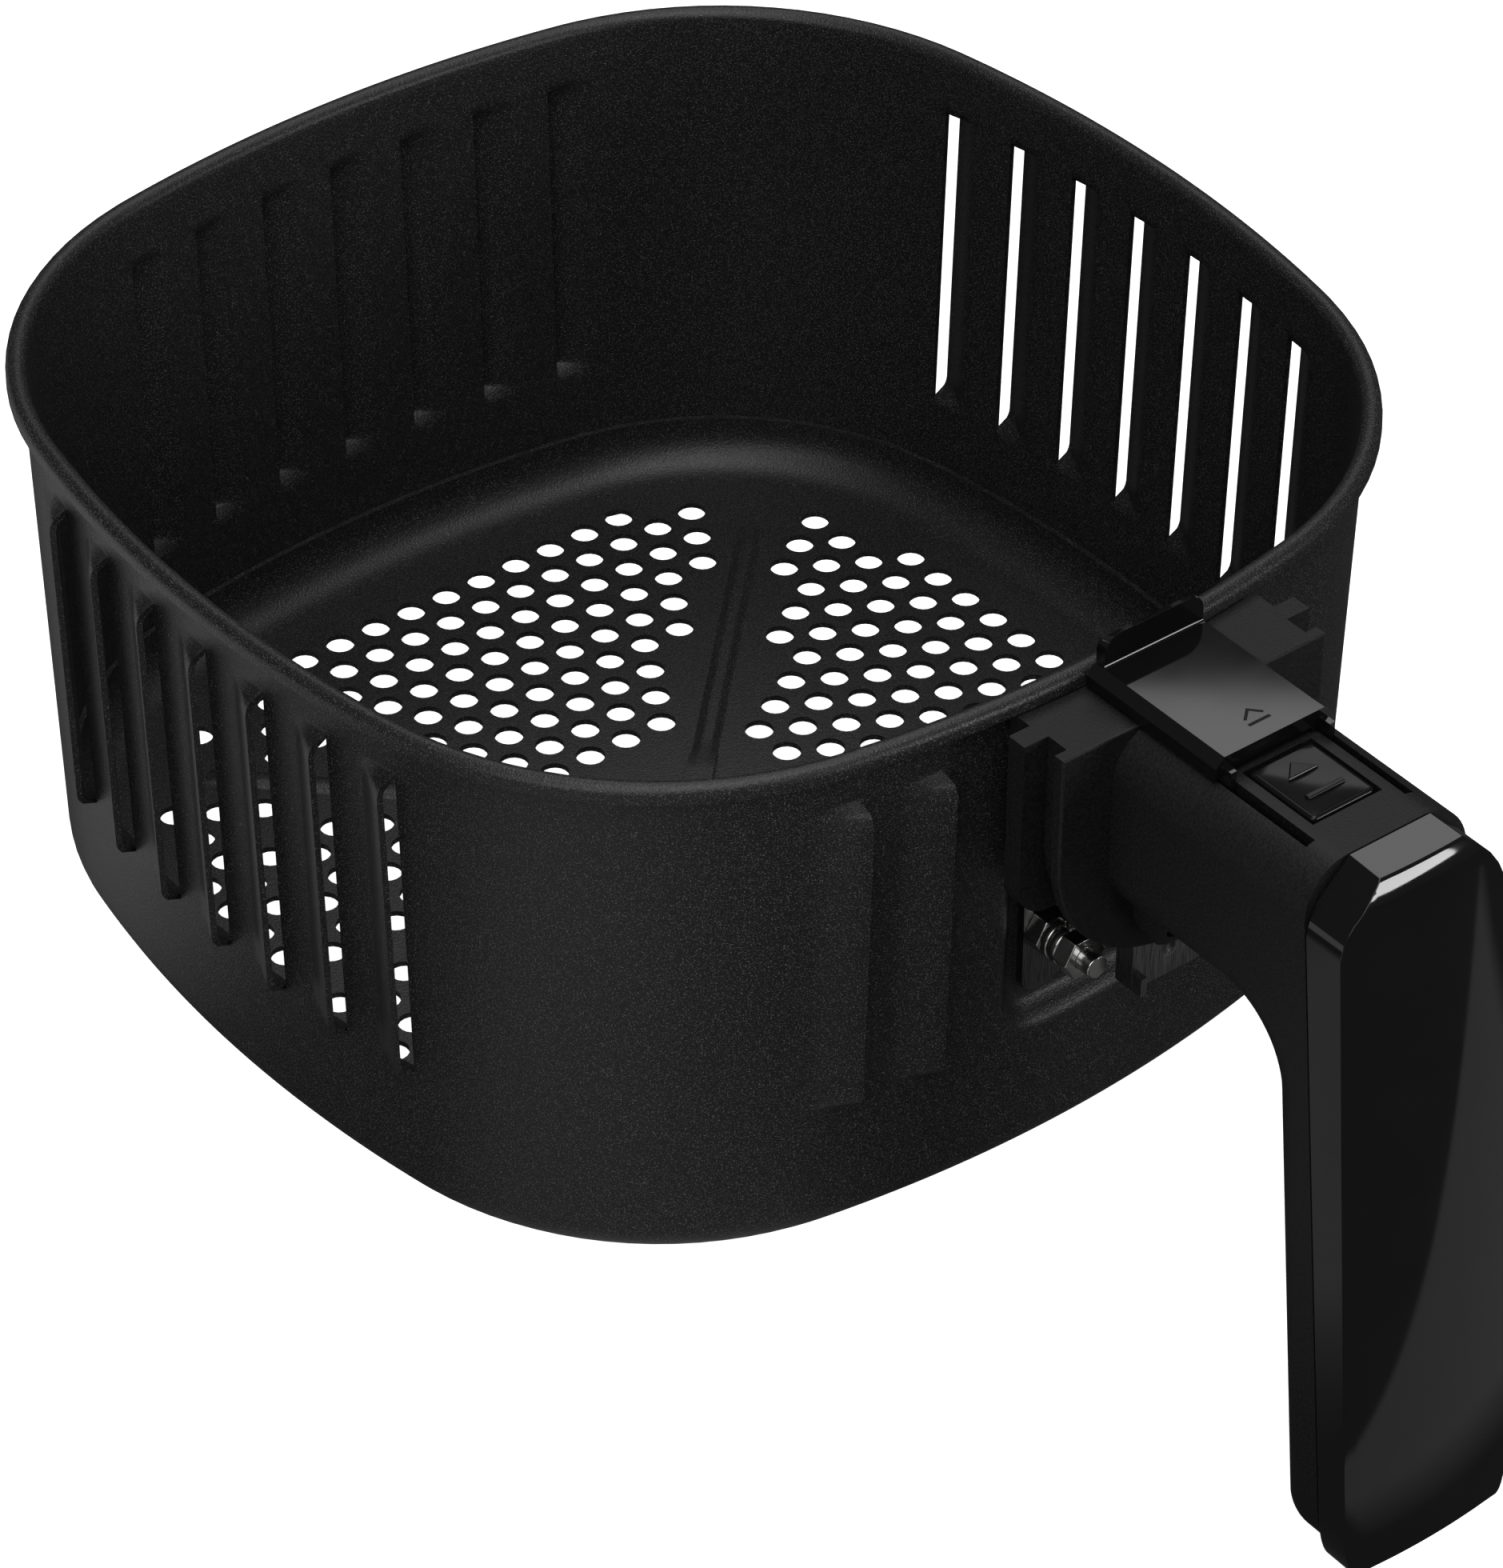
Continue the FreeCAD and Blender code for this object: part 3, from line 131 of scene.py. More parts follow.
def wall_point(column, inset, z):
    """A point of the basket's outline, drawn in by inset, and the number of its wall."""
    wall, step = divmod(column % wall_columns, columns_per_wall)
    outward, half, corner_out, corner_along = walls[wall]
    sideways = Vector((0, 0, 1)).cross(outward)
    radius = corner_radius - inset
    if step > side_columns:
        share = (step - side_columns) / corner_steps
        start = math.asin((last_along - corner_along) / radius)
        end = math.pi / 2 - math.asin((-first_along - corner_out) / radius)
        turn = start + (end - start) * share
        along = corner_along + radius * math.sin(turn)
        out = corner_out + radius * math.cos(turn)
    else:
        along = first_along + step * column_step
        if abs(along) <= (bow_radius - inset) * corner_along / reach:
            out = half - bow_radius + math.sqrt((bow_radius - inset) ** 2 - along ** 2)
        else:
            out = corner_out + math.sqrt(radius ** 2 - (abs(along) - corner_along) ** 2)
    return outward * out + sideways * along + Vector((0, 0, z)), wall


def wall_inset(z):
    return rim_overhang + (rim_top - z) * draft


def bend_section(flat, low, radius, inner):
    """The bend from a flat lower edge into the wall, drawn in by inner, as pairs of inset and height."""
    end = math.pi / 2 - math.atan(draft)
    top = low + radius * (1 - math.cos(end))
    middle = wall_inset(top) + inner + radius * math.sin(end)
    turns = [end * step / bend_steps for step in range(bend_steps + 1)]
    return [(middle + flat, low)] + [
        (middle - radius * math.sin(turn), low + radius * (1 - math.cos(turn))) for turn in turns]


# The outer face's section from the turned-in lower edge to the rim's curl. Its rows, in millimetres, lie
# close together at both ends of the slits.
section = bend_section(foot_lip, -foot_drop, foot_bend, 0)
heights = [6, 11, 16] + list(range(18, 33)) + list(range(36, 70, 4)) + list(range(70, 88)) + [88.6]
section += [(wall_inset(z * mm), z * mm) for z in heights]
curl_radius = (rim_overhang - sheet) / 2
curl_height = rim_top - sheet - curl_radius
for step in range(curl_steps + 1):
    turn = math.pi * step / curl_steps
    section.append((sheet + curl_radius * (1 + math.cos(turn)), curl_height + curl_radius * math.sin(turn)))
section.append((sheet, rim_top - rim_depth))

wall_shape = bmesh.new()
column_of = wall_shape.verts.layers.int.new("column")
row_of = wall_shape.verts.layers.int.new("row")
bmesh.ops.create_grid(wall_shape, x_segments=wall_columns, y_segments=len(section) - 1, size=1)
for vert in wall_shape.verts:
    vert[column_of] = round((vert.co.x + 1) / 2 * wall_columns)
    vert[row_of] = round((vert.co.y + 1) / 2 * (len(section) - 1))

# Each slit: the last column of its louvre, on the walls that have one there.
slits = {}
for wall in range(len(walls)):
    for place in (front_louvres if wall == front_wall else side_louvres):
        first = wall * columns_per_wall + 2 * steps_per_louvre * (place - side_louvres[0])
        slits[first + steps_per_louvre] = first
slit_rows = [row for row, (inset, z) in enumerate(section) if louvre_low <= z <= louvre_high]
cuts = [edge for edge in wall_shape.edges
        if edge.verts[0][column_of] == edge.verts[1][column_of] and edge.verts[0][column_of] in slits
        and all(slit_rows[0] <= vert[row_of] <= slit_rows[-1] for vert in edge.verts)]
bmesh.ops.split_edges(wall_shape, edges=cuts)


def louvre_lift(vert):
    """How far the louvre's lip stands out at a point of the sheet."""
    column, z = vert[column_of], section[vert[row_of]][1]
    for slit, first in slits.items():
        if first < column <= slit:
            around = [other for face in vert.link_faces for other in face.verts]
            if column == slit and any(other[column_of] > slit for other in around):
                return 0
            share = (column - first) / steps_per_louvre
            from_end = min((z - louvre_low) / louvre_end, (louvre_high - z) / louvre_end, 1)
            ends = math.sqrt(max(1 - (1 - from_end) ** 2, 0)) if from_end > 0 else 0
            curve = louvre_straight * share + (1 - louvre_straight) * smooth_step(share)
            return louvre_rise * ends * curve
    return 0


for vert in wall_shape.verts:
    inset, z = section[vert[row_of]]
    lift = louvre_lift(vert)
    vert.co, wall = wall_point(vert[column_of], inset - lift, z)
    if wall == front_wall:
        aside = max(abs(vert.co.x - seat_middle) - seat_half_wide + seat_corner, 0)
        above = max(abs(z - seat_height) - seat_half_tall + seat_corner, 0)
        pressed = smooth_step((seat_corner - math.hypot(aside, above)) / seat_edge)
        vert.co.y += (max(vert.co.y, -seat_depth) - vert.co.y) * pressed
seam = [vert for vert in wall_shape.verts if vert[column_of] in (0, wall_columns)]
bmesh.ops.remove_doubles(wall_shape, verts=seam, dist=weld)
wall_shape.normal_update()


def shade_smooth(shape):
    for face in shape.faces:
        face.smooth = True


def shade_sheet(shape):
    shade_smooth(shape)
    for edge in shape.edges:
        edge.smooth = not edge.is_boundary


def finished(name, shape, body, material):
    """The piece that a shape becomes: on its body, with its finish."""
    mesh = bpy.data.meshes.new(name)
    shape.to_mesh(mesh)
    shape.free()
    piece = bpy.data.objects.new(name, mesh)
    bpy.context.scene.collection.objects.link(piece)
    mesh.materials.append(material)
    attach(piece, body)
    return piece


def thicken(piece, amount, even=False):
    """Gives a sheet its thickness, inwards from the face that was drawn."""
    thickness = piece.modifiers.new("sheet", "SOLIDIFY")
    thickness.thickness = amount
    thickness.offset = -1
    thickness.use_even_offset = even


class Finish:
    """A value on a surface. Sums of values add Math nodes, and node() adds any other node to the finish."""

    def __init__(self, tree, socket=None):
        self.tree = tree
        self.socket = socket

    def node(self, kind, settings, sockets, output=0):
        made = self.tree.nodes.new("ShaderNode" + kind)
        for name, value in settings.items():
            setattr(made, name, value)
        for name, value in sockets.items():
            if isinstance(value, Finish):
                self.tree.links.new(value.socket, made.inputs[name])
            else:
                made.inputs[name].default_value = value
        return Finish(self.tree, made.outputs[output] if made.outputs else None)

    def sum(self, operation, first, second):
        return self.node("Math", {"operation": operation}, {0: first, 1: second})

    def __add__(self, other):
        return self.sum("ADD", self, other)

    def __radd__(self, other):
        return self.sum("ADD", other, self)

    def __sub__(self, other):
        return self.sum("SUBTRACT", self, other)

    def __rsub__(self, other):
        return self.sum("SUBTRACT", other, self)

    def __mul__(self, other):
        return self.sum("MULTIPLY", self, other)

    def __rmul__(self, other):
        return self.sum("MULTIPLY", other, self)


def new_finish(name):
    """An empty material, its finish, and the places on the object over which the finish varies."""
    material = bpy.data.materials.new(name)
    material.use_nodes = True
    material.node_tree.nodes.clear()
    empty = Finish(material.node_tree)
    return material, empty, empty.node("TexCoord", {}, {}, "Object")


def noise(finish, places, scale, detail=2):
    return finish.node("TexNoise", {}, {"Vector": places, "Scale": scale, "Detail": detail})


def blend(finish, share, first, second):
    return finish.node("Mix", {"data_type": "RGBA"}, {0: share, 6: first, 7: second}, 2)


def ramp(finish, value, low, high):
    return finish.node("MapRange", {"clamp": True}, {0: value, 1: low, 2: high, 3: 0.0, 4: 1.0})


def surface(finish, sockets):
    shader = finish.node("BsdfPrincipled", {}, sockets)
    finish.node("OutputMaterial", {}, {"Surface": shader})


coating, finish, places = new_finish("speckled_coating")
black_coat, pale_fleck = (0.0075, 0.0075, 0.0078, 1), (0.08, 0.08, 0.082, 1)
spray = noise(finish, places, 2600, 2)
drift = noise(finish, places, 25)
flecks = ramp(finish, noise(finish, places, 5200, 0), 0.62, 0.72)
peel = finish.node("Bump", {}, {"Strength": 1.0, "Distance": 0.09 * mm, "Height": spray + 0.6 * flecks})
color = blend(finish, flecks * 0.8, black_coat, pale_fleck)
surface(finish, {
    "Base Color": color, "Roughness": 0.33 + 0.12 * drift - 0.10 * flecks, "IOR": 1.42, "Normal": peel})

shade_sheet(wall_shape)
basket_wall = finished("basket_wall", wall_shape, "basket", coating)
thicken(basket_wall, sheet, even=True)
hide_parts("basket_shell")

# The basket's floor: a pressed dish of the same coated sheet, welded inside the wall by its turned-up edge.
# It is punched with rows of round holes that follow its sides, and left plain along both diagonals and in the
# middle.
hole_radius, hole_sides = 2.5 * mm, 18
hole_pitch, row_pitch, first_row = 7.5 * mm, 6.42 * mm, 74.4 * mm
row_halves = (7, 6.5, 6, 4.5, 4, 2.5, 2, 1.5)
outer_halves = (4.5, 5.5)
dish_bend, dish_top, dish_play = 8 * mm, 9.5 * mm, 0.1 * mm

dish_section = bend_section(0, 0, dish_bend, sheet + dish_play)[1:]
dish_section.append((wall_inset(dish_top) + sheet + dish_play, dish_top))
floor_shape = bmesh.new()
outline = bmesh.ops.create_circle(floor_shape, segments=wall_columns, radius=1)["verts"]
for column, vert in enumerate(outline):
    vert.co = wall_point(column, *dish_section[0])[0]
for wall, (outward, *_) in enumerate(walls):
    sideways = Vector((0, 0, 1)).cross(outward)
    rows = (outer_halves[wall % 2],) + row_halves
    for row, row_half in enumerate(rows):
        for place in range(round(2 * row_half) + 1):
            along = (place - row_half) * hole_pitch
            middle = outward * (first_row - row * row_pitch) + sideways * along
            bmesh.ops.create_circle(floor_shape, segments=hole_sides, radius=hole_radius,
                                    matrix=Matrix.Translation(middle))
bmesh.ops.triangle_fill(floor_shape, use_beauty=True, use_dissolve=False, edges=floor_shape.edges[:])
dish_rows = len(dish_section) - 1
dish_edge = bmesh.ops.create_grid(floor_shape, x_segments=wall_columns, y_segments=dish_rows, size=1)["verts"]
for vert in dish_edge:
    column = round((vert.co.x + 1) / 2 * wall_columns)
    vert.co = wall_point(column, *dish_section[round((vert.co.y + 1) / 2 * dish_rows)])[0]
bmesh.ops.remove_doubles(floor_shape, verts=floor_shape.verts, dist=weld)
bmesh.ops.recalc_face_normals(floor_shape, faces=floor_shape.faces)
floor_shape.faces.ensure_lookup_table()
if floor_shape.faces[0].normal.z > 0:
    bmesh.ops.reverse_faces(floor_shape, faces=floor_shape.faces)
shade_sheet(floor_shape)
basket_base = finished("basket_base", floor_shape, "basket", coating)
thicken(basket_base, sheet)
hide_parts("basket_floor")

# The floor's low boss in the middle and the rib along each diagonal: pressed up out of the sheet in the same
# stroke as the dish, to keep the thin floor stiff. They carry the floor's coating.
boss_radius, boss_rise, boss_edge = 17 * mm, 1.5 * mm, 1.6 * mm
rib_half_wide, rib_rise, rib_half_long = 2.3 * mm, 0.9 * mm, 82 * mm
rib_edge, rib_fade, press_sink = 0.7 * rib_half_wide, 2 * rib_half_wide, 0.02 * mm
press_steps, long_steps = 12, 48
swell_shape = bmesh.new()
bmesh.ops.create_circle(swell_shape, cap_ends=True, segments=long_steps, radius=boss_radius)
for step in range(press_steps - 1):
    cap = max(swell_shape.faces, key=lambda face: len(face.verts))
    bmesh.ops.inset_region(swell_shape, faces=[cap], thickness=boss_radius / (2 * press_steps))
for diagonal in (45, 135):
    rib = bmesh.ops.create_grid(swell_shape, x_segments=long_steps, y_segments=press_steps, size=1)["verts"]
    bmesh.ops.scale(swell_shape, verts=rib, vec=(rib_half_long, rib_half_wide, 1))
    bmesh.ops.rotate(swell_shape, verts=rib, matrix=Matrix.Rotation(math.radians(diagonal), 3, "Z"))
for vert in swell_shape.verts:
    from_middle = vert.co.length
    across = min(abs(vert.co.x - vert.co.y), abs(vert.co.x + vert.co.y)) / math.sqrt(2)
    rib_lift = rib_rise * smooth_step((rib_half_wide - across) / rib_edge)
    rib_lift *= smooth_step((rib_half_long - from_middle) / rib_fade)
    boss_lift = boss_rise * smooth_step((boss_radius - from_middle) / boss_edge)
    vert.co.z = sheet + max(rib_lift, boss_lift) - press_sink
shade_smooth(swell_shape)
finished("basket_ribs", swell_shape, "basket", coating)


# The bracket behind the handle's block: a stainless strip with two legs, cut and bent from brushed sheet. It
# is bolted flat to the wall's pressed seat and carries the handle.
def smoothed(node, name, material, rounding=0):
    """A copy of a CAD node, its triangles joined, its sharp edges rounded if asked, and its bends shaded."""
    crease, edge_angle, flat_angle, join = math.radians(35), math.radians(30), math.radians(1), 0.005 * mm
    source = frame["nodes"][node]
    shape = bmesh.new()
    shape.from_mesh(source.data)
    bmesh.ops.remove_doubles(shape, verts=shape.verts, dist=join)
    if rounding:
        bmesh.ops.dissolve_limit(shape, angle_limit=flat_angle, verts=shape.verts, edges=shape.edges)
        sharp = [edge for edge in shape.edges if edge.calc_face_angle(0) > edge_angle]
        bmesh.ops.bevel(shape, geom=sharp, offset=rounding, segments=3, profile=0.5, affect="EDGES",
                        clamp_overlap=True)
    shade_smooth(shape)
    for face in shape.faces:
        face.material_index = 0
    for edge in shape.edges:
        edge.smooth = len(edge.link_faces) == 2 and edge.calc_face_angle() < crease
    piece = finished(name, shape, source["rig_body"], material)
    flatten(piece)
    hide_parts(node)
    return piece


def flatten(piece):
    """Shades flat faces flat, so that only the roundings between them bend the light."""
    flats = piece.modifiers.new("flats", "WEIGHTED_NORMAL")
    flats.keep_sharp = True


stainless, finish, places = new_finish("brushed_stainless_painted_shade")
# The steel's base colour is far darker than real stainless. This is painted shade for the shade under the
# block, where the bracket and the catch sit. Only the change between light and dark lines comes from the
# brushing.
shaded_dark_line, shaded_pale_line = (0.09, 0.09, 0.09, 1), (0.28, 0.28, 0.275, 1)
brushed = finish.node("Mapping", {}, {"Vector": places, "Scale": (40, 40, 1)})
lines = noise(finish, brushed, 260, 3)
marks = finish.node("Bump", {}, {"Strength": 0.25, "Distance": 0.03 * mm, "Height": lines})
color = blend(finish, ramp(finish, lines, 0.35, 0.65), shaded_dark_line, shaded_pale_line)
surface(finish, {
    "Base Color": color, "Metallic": 1.0, "Roughness": 0.22 + 0.16 * lines, "Normal": marks})
smoothed("wall_bracket", "bracket_plate", stainless)

# The bolts of the bracket's legs, with their nuts and split washers: turned and pressed from bright steel.
# The inner nuts clamp the bracket to the wall, and the outer ones lock the bolts' ends.
bright, finish, places = new_finish("bright_steel")
fastener_rounding = 0.25 * mm
turned_places = finish.node("Mapping", {}, {"Vector": places, "Scale": (1, 9, 1)})
turned = noise(finish, turned_places, 700, 2)
color = blend(finish, turned, (0.50, 0.50, 0.49, 1), (0.72, 0.72, 0.70, 1))
surface(finish, {"Base Color": color, "Metallic": 1.0, "Roughness": 0.16 + 0.14 * turned})
for node in ("bracket_bolts", "inner_nuts", "spring_washers", "outer_nuts"):
    smoothed(node, node + "_bright", bright, rounding=fastener_rounding)

# The mount block: a dense moulding with a fine grain, which hooks over the pan's wall. Short bolts and square
# nuts hold it to the bracket, and four screws to the housing; these are zinc plated and almost hidden.
grained, finish, places = new_finish("grained_plastic")
grain_low, grain_high = (0.004, 0.004, 0.0044, 1), (0.009, 0.009, 0.0095, 1)
grain = noise(finish, places, 2300, 2)
pores = finish.node("Bump", {}, {"Strength": 0.8, "Distance": 0.08 * mm, "Height": grain})
color = blend(finish, ramp(finish, grain, 0.35, 0.65), grain_low, grain_high)
surface(finish, {"Base Color": color, "Roughness": 0.44 + 0.16 * grain, "IOR": 1.33, "Normal": pores})
smoothed("mount_block", "block_moulding", grained)

zinc, finish, places = new_finish("zinc_plating")
clouds = noise(finish, places, 400)
color = blend(finish, clouds, (0.46, 0.47, 0.48, 1), (0.60, 0.60, 0.60, 1))
surface(finish, {"Base Color": color, "Metallic": 1.0, "Roughness": 0.28 + 0.15 * clouds})
for node in ("block_bolts", "block_nuts", "bolt_washers", "housing_screws"):
    smoothed(node, node + "_plated", zinc)

# The handle's housing: flange, neck and inner half of the grip in one moulding, with the block's fine grain.
# Its screws come from the block, so that none shows from outside.
smoothed("handle_housing", "housing_moulding", grained)

# The catch: a stainless channel, cut and bent from sheet, that turns on a pin in the housing. The button
# pushes its tongue down against a coil spring. Its front plate has a small pressed dimple.
smoothed("latch_lever", "latch_channel", stainless)
face_half_wide, face_low, face_high = 7.2 * mm, 33.4 * mm, 62 * mm
face_front, face_sheet = -108.7 * mm, 1.0 * mm
dimple_x, dimple_z, dimple_radius, dimple_depth = 8.5 * mm, 38.9 * mm, 1.7 * mm, 0.4 * mm
face_shape = bmesh.new()
bmesh.ops.create_grid(face_shape, x_segments=48, y_segments=96, size=1)
for vert in face_shape.verts:
    x = seat_middle + vert.co.x * face_half_wide
    z = (face_low + face_high) / 2 + vert.co.y * (face_high - face_low) / 2
    dent = dimple_depth * smooth_step(1 - math.hypot(x - dimple_x, z - dimple_z) / dimple_radius)
    vert.co = (x, face_front + dent, z)
shade_smooth(face_shape)
latch_face = finished("latch_face", face_shape, "latch", stainless)
thicken(latch_face, face_sheet)
smoothed("latch_pin", "latch_pin_plated", zinc)
spring = smoothed("lever_spring", "lever_spring_plated", zinc)
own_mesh(spring)

# The release button: a square half-gloss cap with a dished top, which slides in a well of the neck and
# presses the lever's tongue. A raised triangle and bar show which way it frees the basket.
button_finish, finish, places = new_finish("button_plastic")
haze = noise(finish, places, 300)
color = blend(finish, haze, (0.005, 0.005, 0.0055, 1), (0.007, 0.007, 0.0075, 1))
surface(finish, {"Base Color": color, "Roughness": 0.14 + 0.08 * haze, "IOR": 1.27})
button_cap = smoothed("release_button", "button_cap", button_finish)
button_top, sign_base, sign_rise, sign_edge = 88.6 * mm, 87.7 * mm, 1.0 * mm, 0.2 * mm
cap_middle, cap_half_x, cap_half_y, cap_sag = -136.9 * mm, 5.5 * mm, 6.5 * mm, 0.6 * mm
cap_shape = bmesh.new()
cap_shape.from_mesh(button_cap.data)
tops = [face for face in cap_shape.faces if face.calc_center_median().z > button_top - weld]
bmesh.ops.delete(cap_shape, geom=tops, context="FACES")
for vert in bmesh.ops.create_grid(cap_shape, x_segments=16, y_segments=16, size=1)["verts"]:
    across, along = vert.co.x, vert.co.y
    sag = cap_sag * (1 - across ** 2) * (1 - along ** 2)
    vert.co = (seat_middle + across * cap_half_x, cap_middle + along * cap_half_y, button_top - sag)
shade_smooth(cap_shape)
cap_shape.to_mesh(button_cap.data)
cap_shape.free()


def pull(shape, corners, way):
    """Adds a solid to a shape: a face with the given corners, pulled along a way."""
    face = shape.faces.new([shape.verts.new(corner) for corner in corners])
    pulled = bmesh.ops.extrude_face_region(shape, geom=[face], use_keep_orig=True)["geom"]
    ends = [item for item in pulled if isinstance(item, bmesh.types.BMVert)]
    bmesh.ops.translate(shape, verts=ends, vec=way)


triangle = ((6.1, -134.9), (12.0, -134.9), (9.1, -131.8))
bar = ((5.5, -140.0), (12.7, -140.0), (12.7, -139.0), (5.5, -139.0))
sign_shape = bmesh.new()
for sign in (triangle, bar):
    pull(sign_shape, [(x * mm, y * mm, sign_base) for x, y in sign], (0, 0, sign_rise))
bmesh.ops.recalc_face_normals(sign_shape, faces=sign_shape.faces)
bmesh.ops.bevel(sign_shape, geom=sign_shape.edges, offset=sign_edge, segments=2, profile=0.5, affect="EDGES")
finished("button_sign", sign_shape, "button", button_finish)

# The sliding guard: a polished moulding with an upright lip for the thumb, whose runners ride in the neck's
# two slots. An arrow and a bar are sunk into its top.
polished, finish, places = new_finish("polished_plastic")
smears = noise(finish, places, 90, 3)
color = blend(finish, smears, (0.003, 0.003, 0.0033, 1), (0.005, 0.005, 0.0053, 1))
surface(finish, {"Base Color": color, "Roughness": 0.03 + 0.04 * smears, "IOR": 1.5})
guard_top, guard_rounding, sign_sink = 92.2 * mm, 0.4 * mm, 0.02 * mm
front_start, front_end, front_back = -129.6 * mm, -128.6 * mm, 1.0 * mm
lip_top, slant_start, lip_slant = 96.5 * mm, -100.9 * mm, 0.8
lip_face, lip_bend, bend_share = -101.3 * mm, 2.05 * mm, 0.25
guard_moulding = smoothed("slide_guard", "guard_moulding", polished, rounding=guard_rounding)
for vert in guard_moulding.data.vertices:
    if front_start < vert.co.y < front_end:
        vert.co.y += front_back
    if vert.co.z > lip_top:
        vert.co.z -= lip_slant * max(vert.co.y - slant_start, 0)
    if guard_top < vert.co.z < guard_top + lip_bend and lip_face - lip_bend < vert.co.y < lip_face:
        vert.co.y = lip_face + (vert.co.y - lip_face) * bend_share
        vert.co.z = guard_top + (vert.co.z - guard_top) * bend_share
left_stroke = ((7.1, -123.5), (9.3, -121.5), (9.3, -122.2), (7.5, -123.8))
right_stroke = ((9.3, -121.5), (11.1, -123.5), (10.7, -123.8), (9.3, -122.2))
bar = ((6.9, -125.2), (11.1, -125.2), (11.1, -124.6), (6.9, -124.6))
arrow_shape = bmesh.new()
for sign in (left_stroke, right_stroke, bar):
    pull(arrow_shape, [(x * mm, y * mm, guard_top - sign_sink) for x, y in sign], (0, 0, 2 * sign_sink))
bmesh.ops.recalc_face_normals(arrow_shape, faces=arrow_shape.faces)
shade, finish, places = new_finish("sunk_sign")
color = blend(finish, noise(finish, places, 900), (0.003, 0.003, 0.003, 1), (0.006, 0.006, 0.006, 1))
surface(finish, {"Base Color": color, "Roughness": 0.7, "IOR": 1.3})
finished("guard_sign", arrow_shape, "guard", shade)

# The grip's cover: a long polished moulding, slightly bowed across, screwed to the housing from the finger
# side. Its crown has a flat top, a slanting left shoulder and a longer, rounded right one.
grip_middle, cover_half, cover_bow = 9.9 * mm, 16.9 * mm, 1.1 * mm
cover_columns = 14
cover_profile = (
    (-153.0, 88.3), (-160.0, 88.15), (-160.4, 87.75), (-160.83, 86.95), (-161.22, 86.15), (-161.58, 85.35),
    (-161.9, 84.55), (-162.1, 83.75), (-162.2, 82.8), (-173.5, -37.8), (-166.6, -37.8))
left_shoulder = ((8.2, 88.3), (14.4, 83.2), (16.1, 80.9), (16.9, 78.0))
right_shoulder = (
    (7.6, 88.3), (9.8, 86.6), (12.2, 84.0), (14.0, 81.3), (15.2, 78.5), (16.0, 74.5), (16.9, 67.0))
inner_y, inner_lean, inner_play = -162.55 * mm, 0.108, 2 * mm
foot_corner, cover_edge = 8 * mm, 0.45 * mm
foot_height = cover_profile[-1][1] * mm
cover_shape = bmesh.new()
left_side = [(grip_middle - cover_half, y * mm, z * mm) for y, z in cover_profile]
pull(cover_shape, left_side, (2 * cover_half, 0, 0))


def cut(shape, place, normal, away=False):
    """Cuts a shape at a plane, takes away what lies beyond if asked, and returns the edges of the cut."""
    everything = shape.verts[:] + shape.edges[:] + shape.faces[:]
    trim = bmesh.ops.bisect_plane(shape, geom=everything, plane_co=place, plane_no=normal, clear_outer=away)
    return [item for item in trim["geom_cut"] if isinstance(item, bmesh.types.BMEdge)]


for column in range(1, cover_columns):
    cut(cover_shape, (grip_middle - cover_half + 2 * cover_half * column / cover_columns, 0, 0), (1, 0, 0))
# Only the outer face is bowed; the face on the housing stays flat.
for vert in cover_shape.verts:
    if vert.co.y < inner_y + inner_lean * vert.co.z - inner_play:
        aside = abs(vert.co.x - grip_middle) / cover_half
        vert.co.y += cover_bow * aside ** 2
for side, shoulder in ((-1, left_shoulder), (1, right_shoulder)):
    for (start_x, start_z), (end_x, end_z) in zip(shoulder, shoulder[1:]):
        slant = Vector((side * (start_z - end_z), 0, end_x - start_x)).normalized()
        start = Vector((grip_middle + side * start_x * mm, 0, start_z * mm))
        bmesh.ops.edgeloop_fill(cover_shape, edges=cut(cover_shape, start, slant, away=True))
bmesh.ops.recalc_face_normals(cover_shape, faces=cover_shape.faces)
foot_edges = [edge for edge in cover_shape.edges
              if all(abs(abs(vert.co.x - grip_middle) - cover_half) < weld for vert in edge.verts)
              and all(abs(vert.co.z - foot_height) < weld for vert in edge.verts)]
bmesh.ops.bevel(cover_shape, geom=foot_edges, offset=foot_corner, segments=8, profile=0.5, affect="EDGES")
sharp = [edge for edge in cover_shape.edges if edge.calc_face_angle(0) > math.radians(22)]
bmesh.ops.bevel(cover_shape, geom=sharp, offset=cover_edge, segments=3, profile=0.5, affect="EDGES",
                clamp_overlap=True)
shade_smooth(cover_shape)
for edge in cover_shape.edges:
    edge.smooth = edge.calc_face_angle(0) < math.radians(30)
grip_front = finished("grip_front", cover_shape, "basket", polished)
flatten(grip_front)
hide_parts("grip_cover")
smoothed("cover_screws", "cover_screws_plated", zinc)

# The stage: a sheet of white paper, which the camera sees white and with the part's soft shadow. In
# reflections it is dim with a few lit patches, as between the dark panels of a small studio. Places on it are
# in metres.
floor_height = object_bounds()[0][2]
stage_shape = bmesh.new()
bmesh.ops.create_grid(stage_shape, x_segments=1, y_segments=1, size=2.0)
bmesh.ops.translate(stage_shape, verts=stage_shape.verts, vec=(0, 0.7, floor_height))
sweep_mesh = bpy.data.meshes.new("sweep")
stage_shape.to_mesh(sweep_mesh)
stage_shape.free()
sweep = bpy.data.objects.new("sweep", sweep_mesh)
bpy.context.scene.collection.objects.link(sweep)
paper, finish, places = new_finish("white_paper")
white_light = (1, 1, 1, 1)
rays = ("Is Camera Ray", "Is Glossy Ray", "Is Transmission Ray")
camera_ray, glossy_ray, through_ray = (finish.node("LightPath", {}, {}, ray) for ray in rays)
spot_x, spot_y = (finish.node("SeparateXYZ", {}, {"Vector": places}, axis) for axis in ("X", "Y"))
corner_patch = ramp(finish, spot_y, -0.02, -0.07) * ramp(finish, spot_x, -0.11, -0.19) * 0.42
side_patch = ramp(finish, spot_y, 0.04, 0.10) * ramp(finish, spot_x, -0.08, -0.12) * 0.65
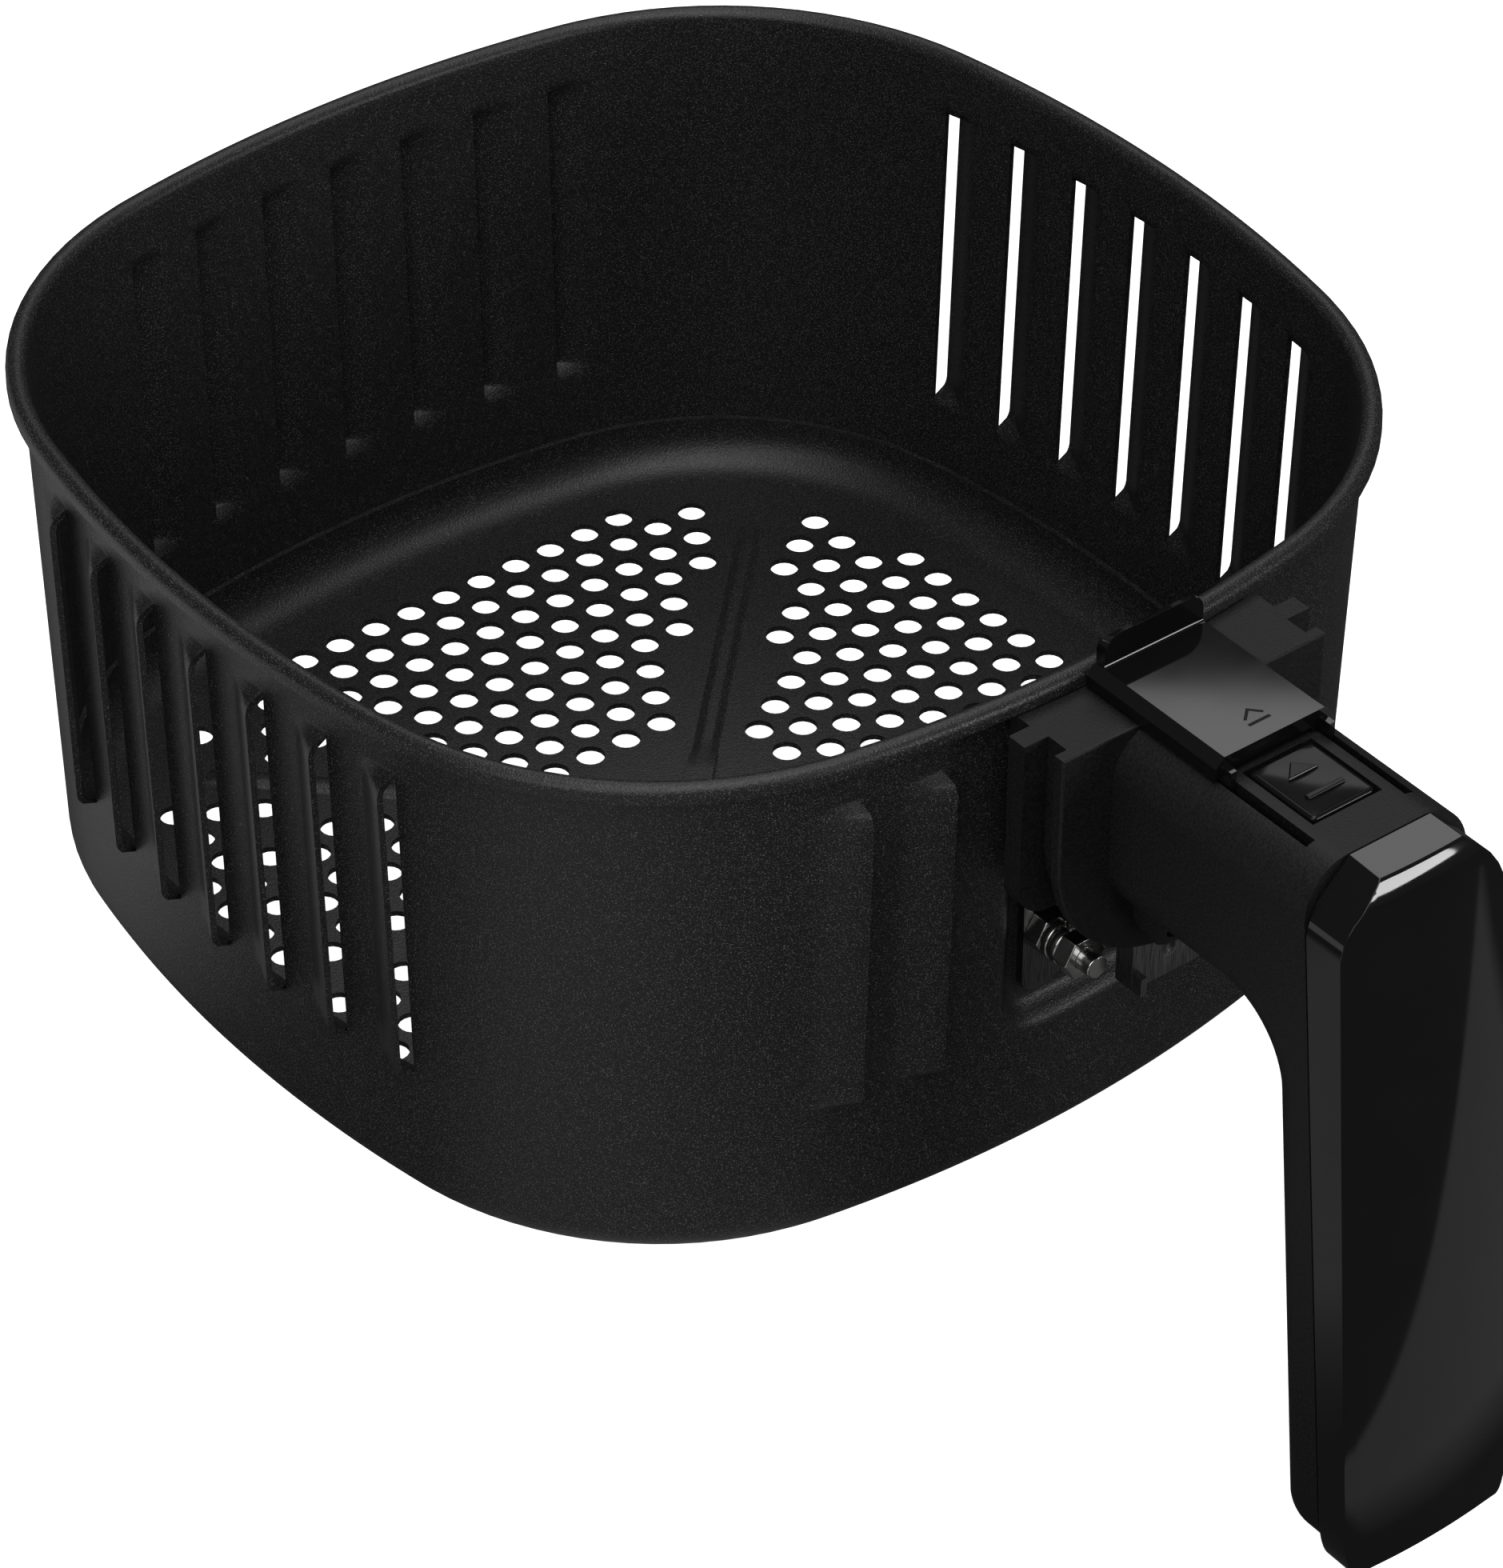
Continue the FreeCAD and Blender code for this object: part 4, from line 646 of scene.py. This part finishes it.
near_patch = ramp(finish, spot_y, -0.15, -0.12) * ramp(finish, spot_y, -0.03, -0.06)
near_patch = near_patch * ramp(finish, spot_x, -0.02, -0.05) * 0.22
right_patch = ramp(finish, spot_y + 0.56 * spot_x, -0.197, -0.195) * ramp(finish, spot_x, 0, 0.003)
right_patch = right_patch * ramp(finish, spot_x + 0.67 * spot_y, -0.02, -0.03)
right_patch = right_patch * ramp(finish, spot_y, -0.18, -0.19) * 0.24
patches = corner_patch
for patch in (side_patch, near_patch, right_patch):
    patches = finish.sum("MAXIMUM", patches, patch)
glow = finish.node("Emission", {}, {"Color": white_light, "Strength": 0.9})
lit = finish.node("Emission", {}, {"Color": white_light, "Strength": 1.0})
dim = finish.node("Emission", {}, {"Color": white_light, "Strength": 0.05})
sheen = finish.node("MixShader", {}, {0: patches, 1: dim, 2: lit})
matt = finish.node("BsdfDiffuse", {}, {"Color": (0.8, 0.8, 0.8, 1)})
white = finish.node("AddShader", {}, {0: glow, 1: matt})
mirrored = finish.node("MixShader", {}, {0: glossy_ray, 1: matt, 2: sheen})
seen = finish.sum("MAXIMUM", camera_ray, through_ray)
shown = finish.node("MixShader", {}, {0: seen, 1: mirrored, 2: white})
finish.node("OutputMaterial", {}, {"Surface": shown})
sweep_mesh.materials.append(paper)

world = bpy.data.worlds.new("studio")
bpy.context.scene.world = world
world.use_nodes = True
world.node_tree.nodes.clear()
air = Finish(world.node_tree)
strength = 0.08 + 0.92 * air.node("LightPath", {}, {}, "Is Camera Ray")
sky = air.node("Background", {}, {"Color": white_light, "Strength": strength})
air.node("OutputWorld", {}, {"Surface": sky})


def softbox(name, place, target, size, power):
    lamp = bpy.data.lights.new(name, "AREA")
    lamp.shape = "RECTANGLE"
    lamp.size, lamp.size_y = size
    lamp.energy = power
    holder = bpy.data.objects.new(name, lamp)
    bpy.context.scene.collection.objects.link(holder)
    holder.location = place
    holder.rotation_euler = (Vector(target) - Vector(place)).to_track_quat("-Z", "Y").to_euler()


softbox("left_box", (-0.9, -0.5, 0.7), (0, 0, 0.04), (0.7, 0.7), 4)
softbox("front_box", (0.40, -0.85, 0.23), (0.01, -0.16, 0.08), (0.26, 0.22), 2.4)
softbox("fill_box", (-0.4, -0.8, 1.1), (0, 0, 0.05), (0.6, 0.6), 3.4)
softbox("top_box", (0, -0.25, 1.3), (0, 0, 0.04), (1.0, 0.8), 9)
softbox("back_box", (0.479, 0.458, 1.02), (0.01, -0.1, 0.09), (0.8, 0.6), 3.0)

# The camera: a long lens from the left and above, fitted to the rows of holes and the rim in the photograph.
camera_place = (-0.5381, -0.6975, 0.6980)
azimuth, elevation, roll = math.radians(-38.289), math.radians(38.096), math.radians(0.243)
camera_data = bpy.data.cameras.new("camera")
camera_data.lens = 155.3
camera_data.sensor_width = 36
camera = bpy.data.objects.new("camera", camera_data)
bpy.context.scene.collection.objects.link(camera)
aim = Euler((math.pi / 2 - elevation, 0, azimuth)).to_matrix() @ Matrix.Rotation(roll, 3, "Z")
camera.matrix_world = Matrix.Translation(camera_place) @ aim.to_4x4()
bpy.context.scene.camera = camera
bpy.context.scene.view_settings.view_transform = "Standard"
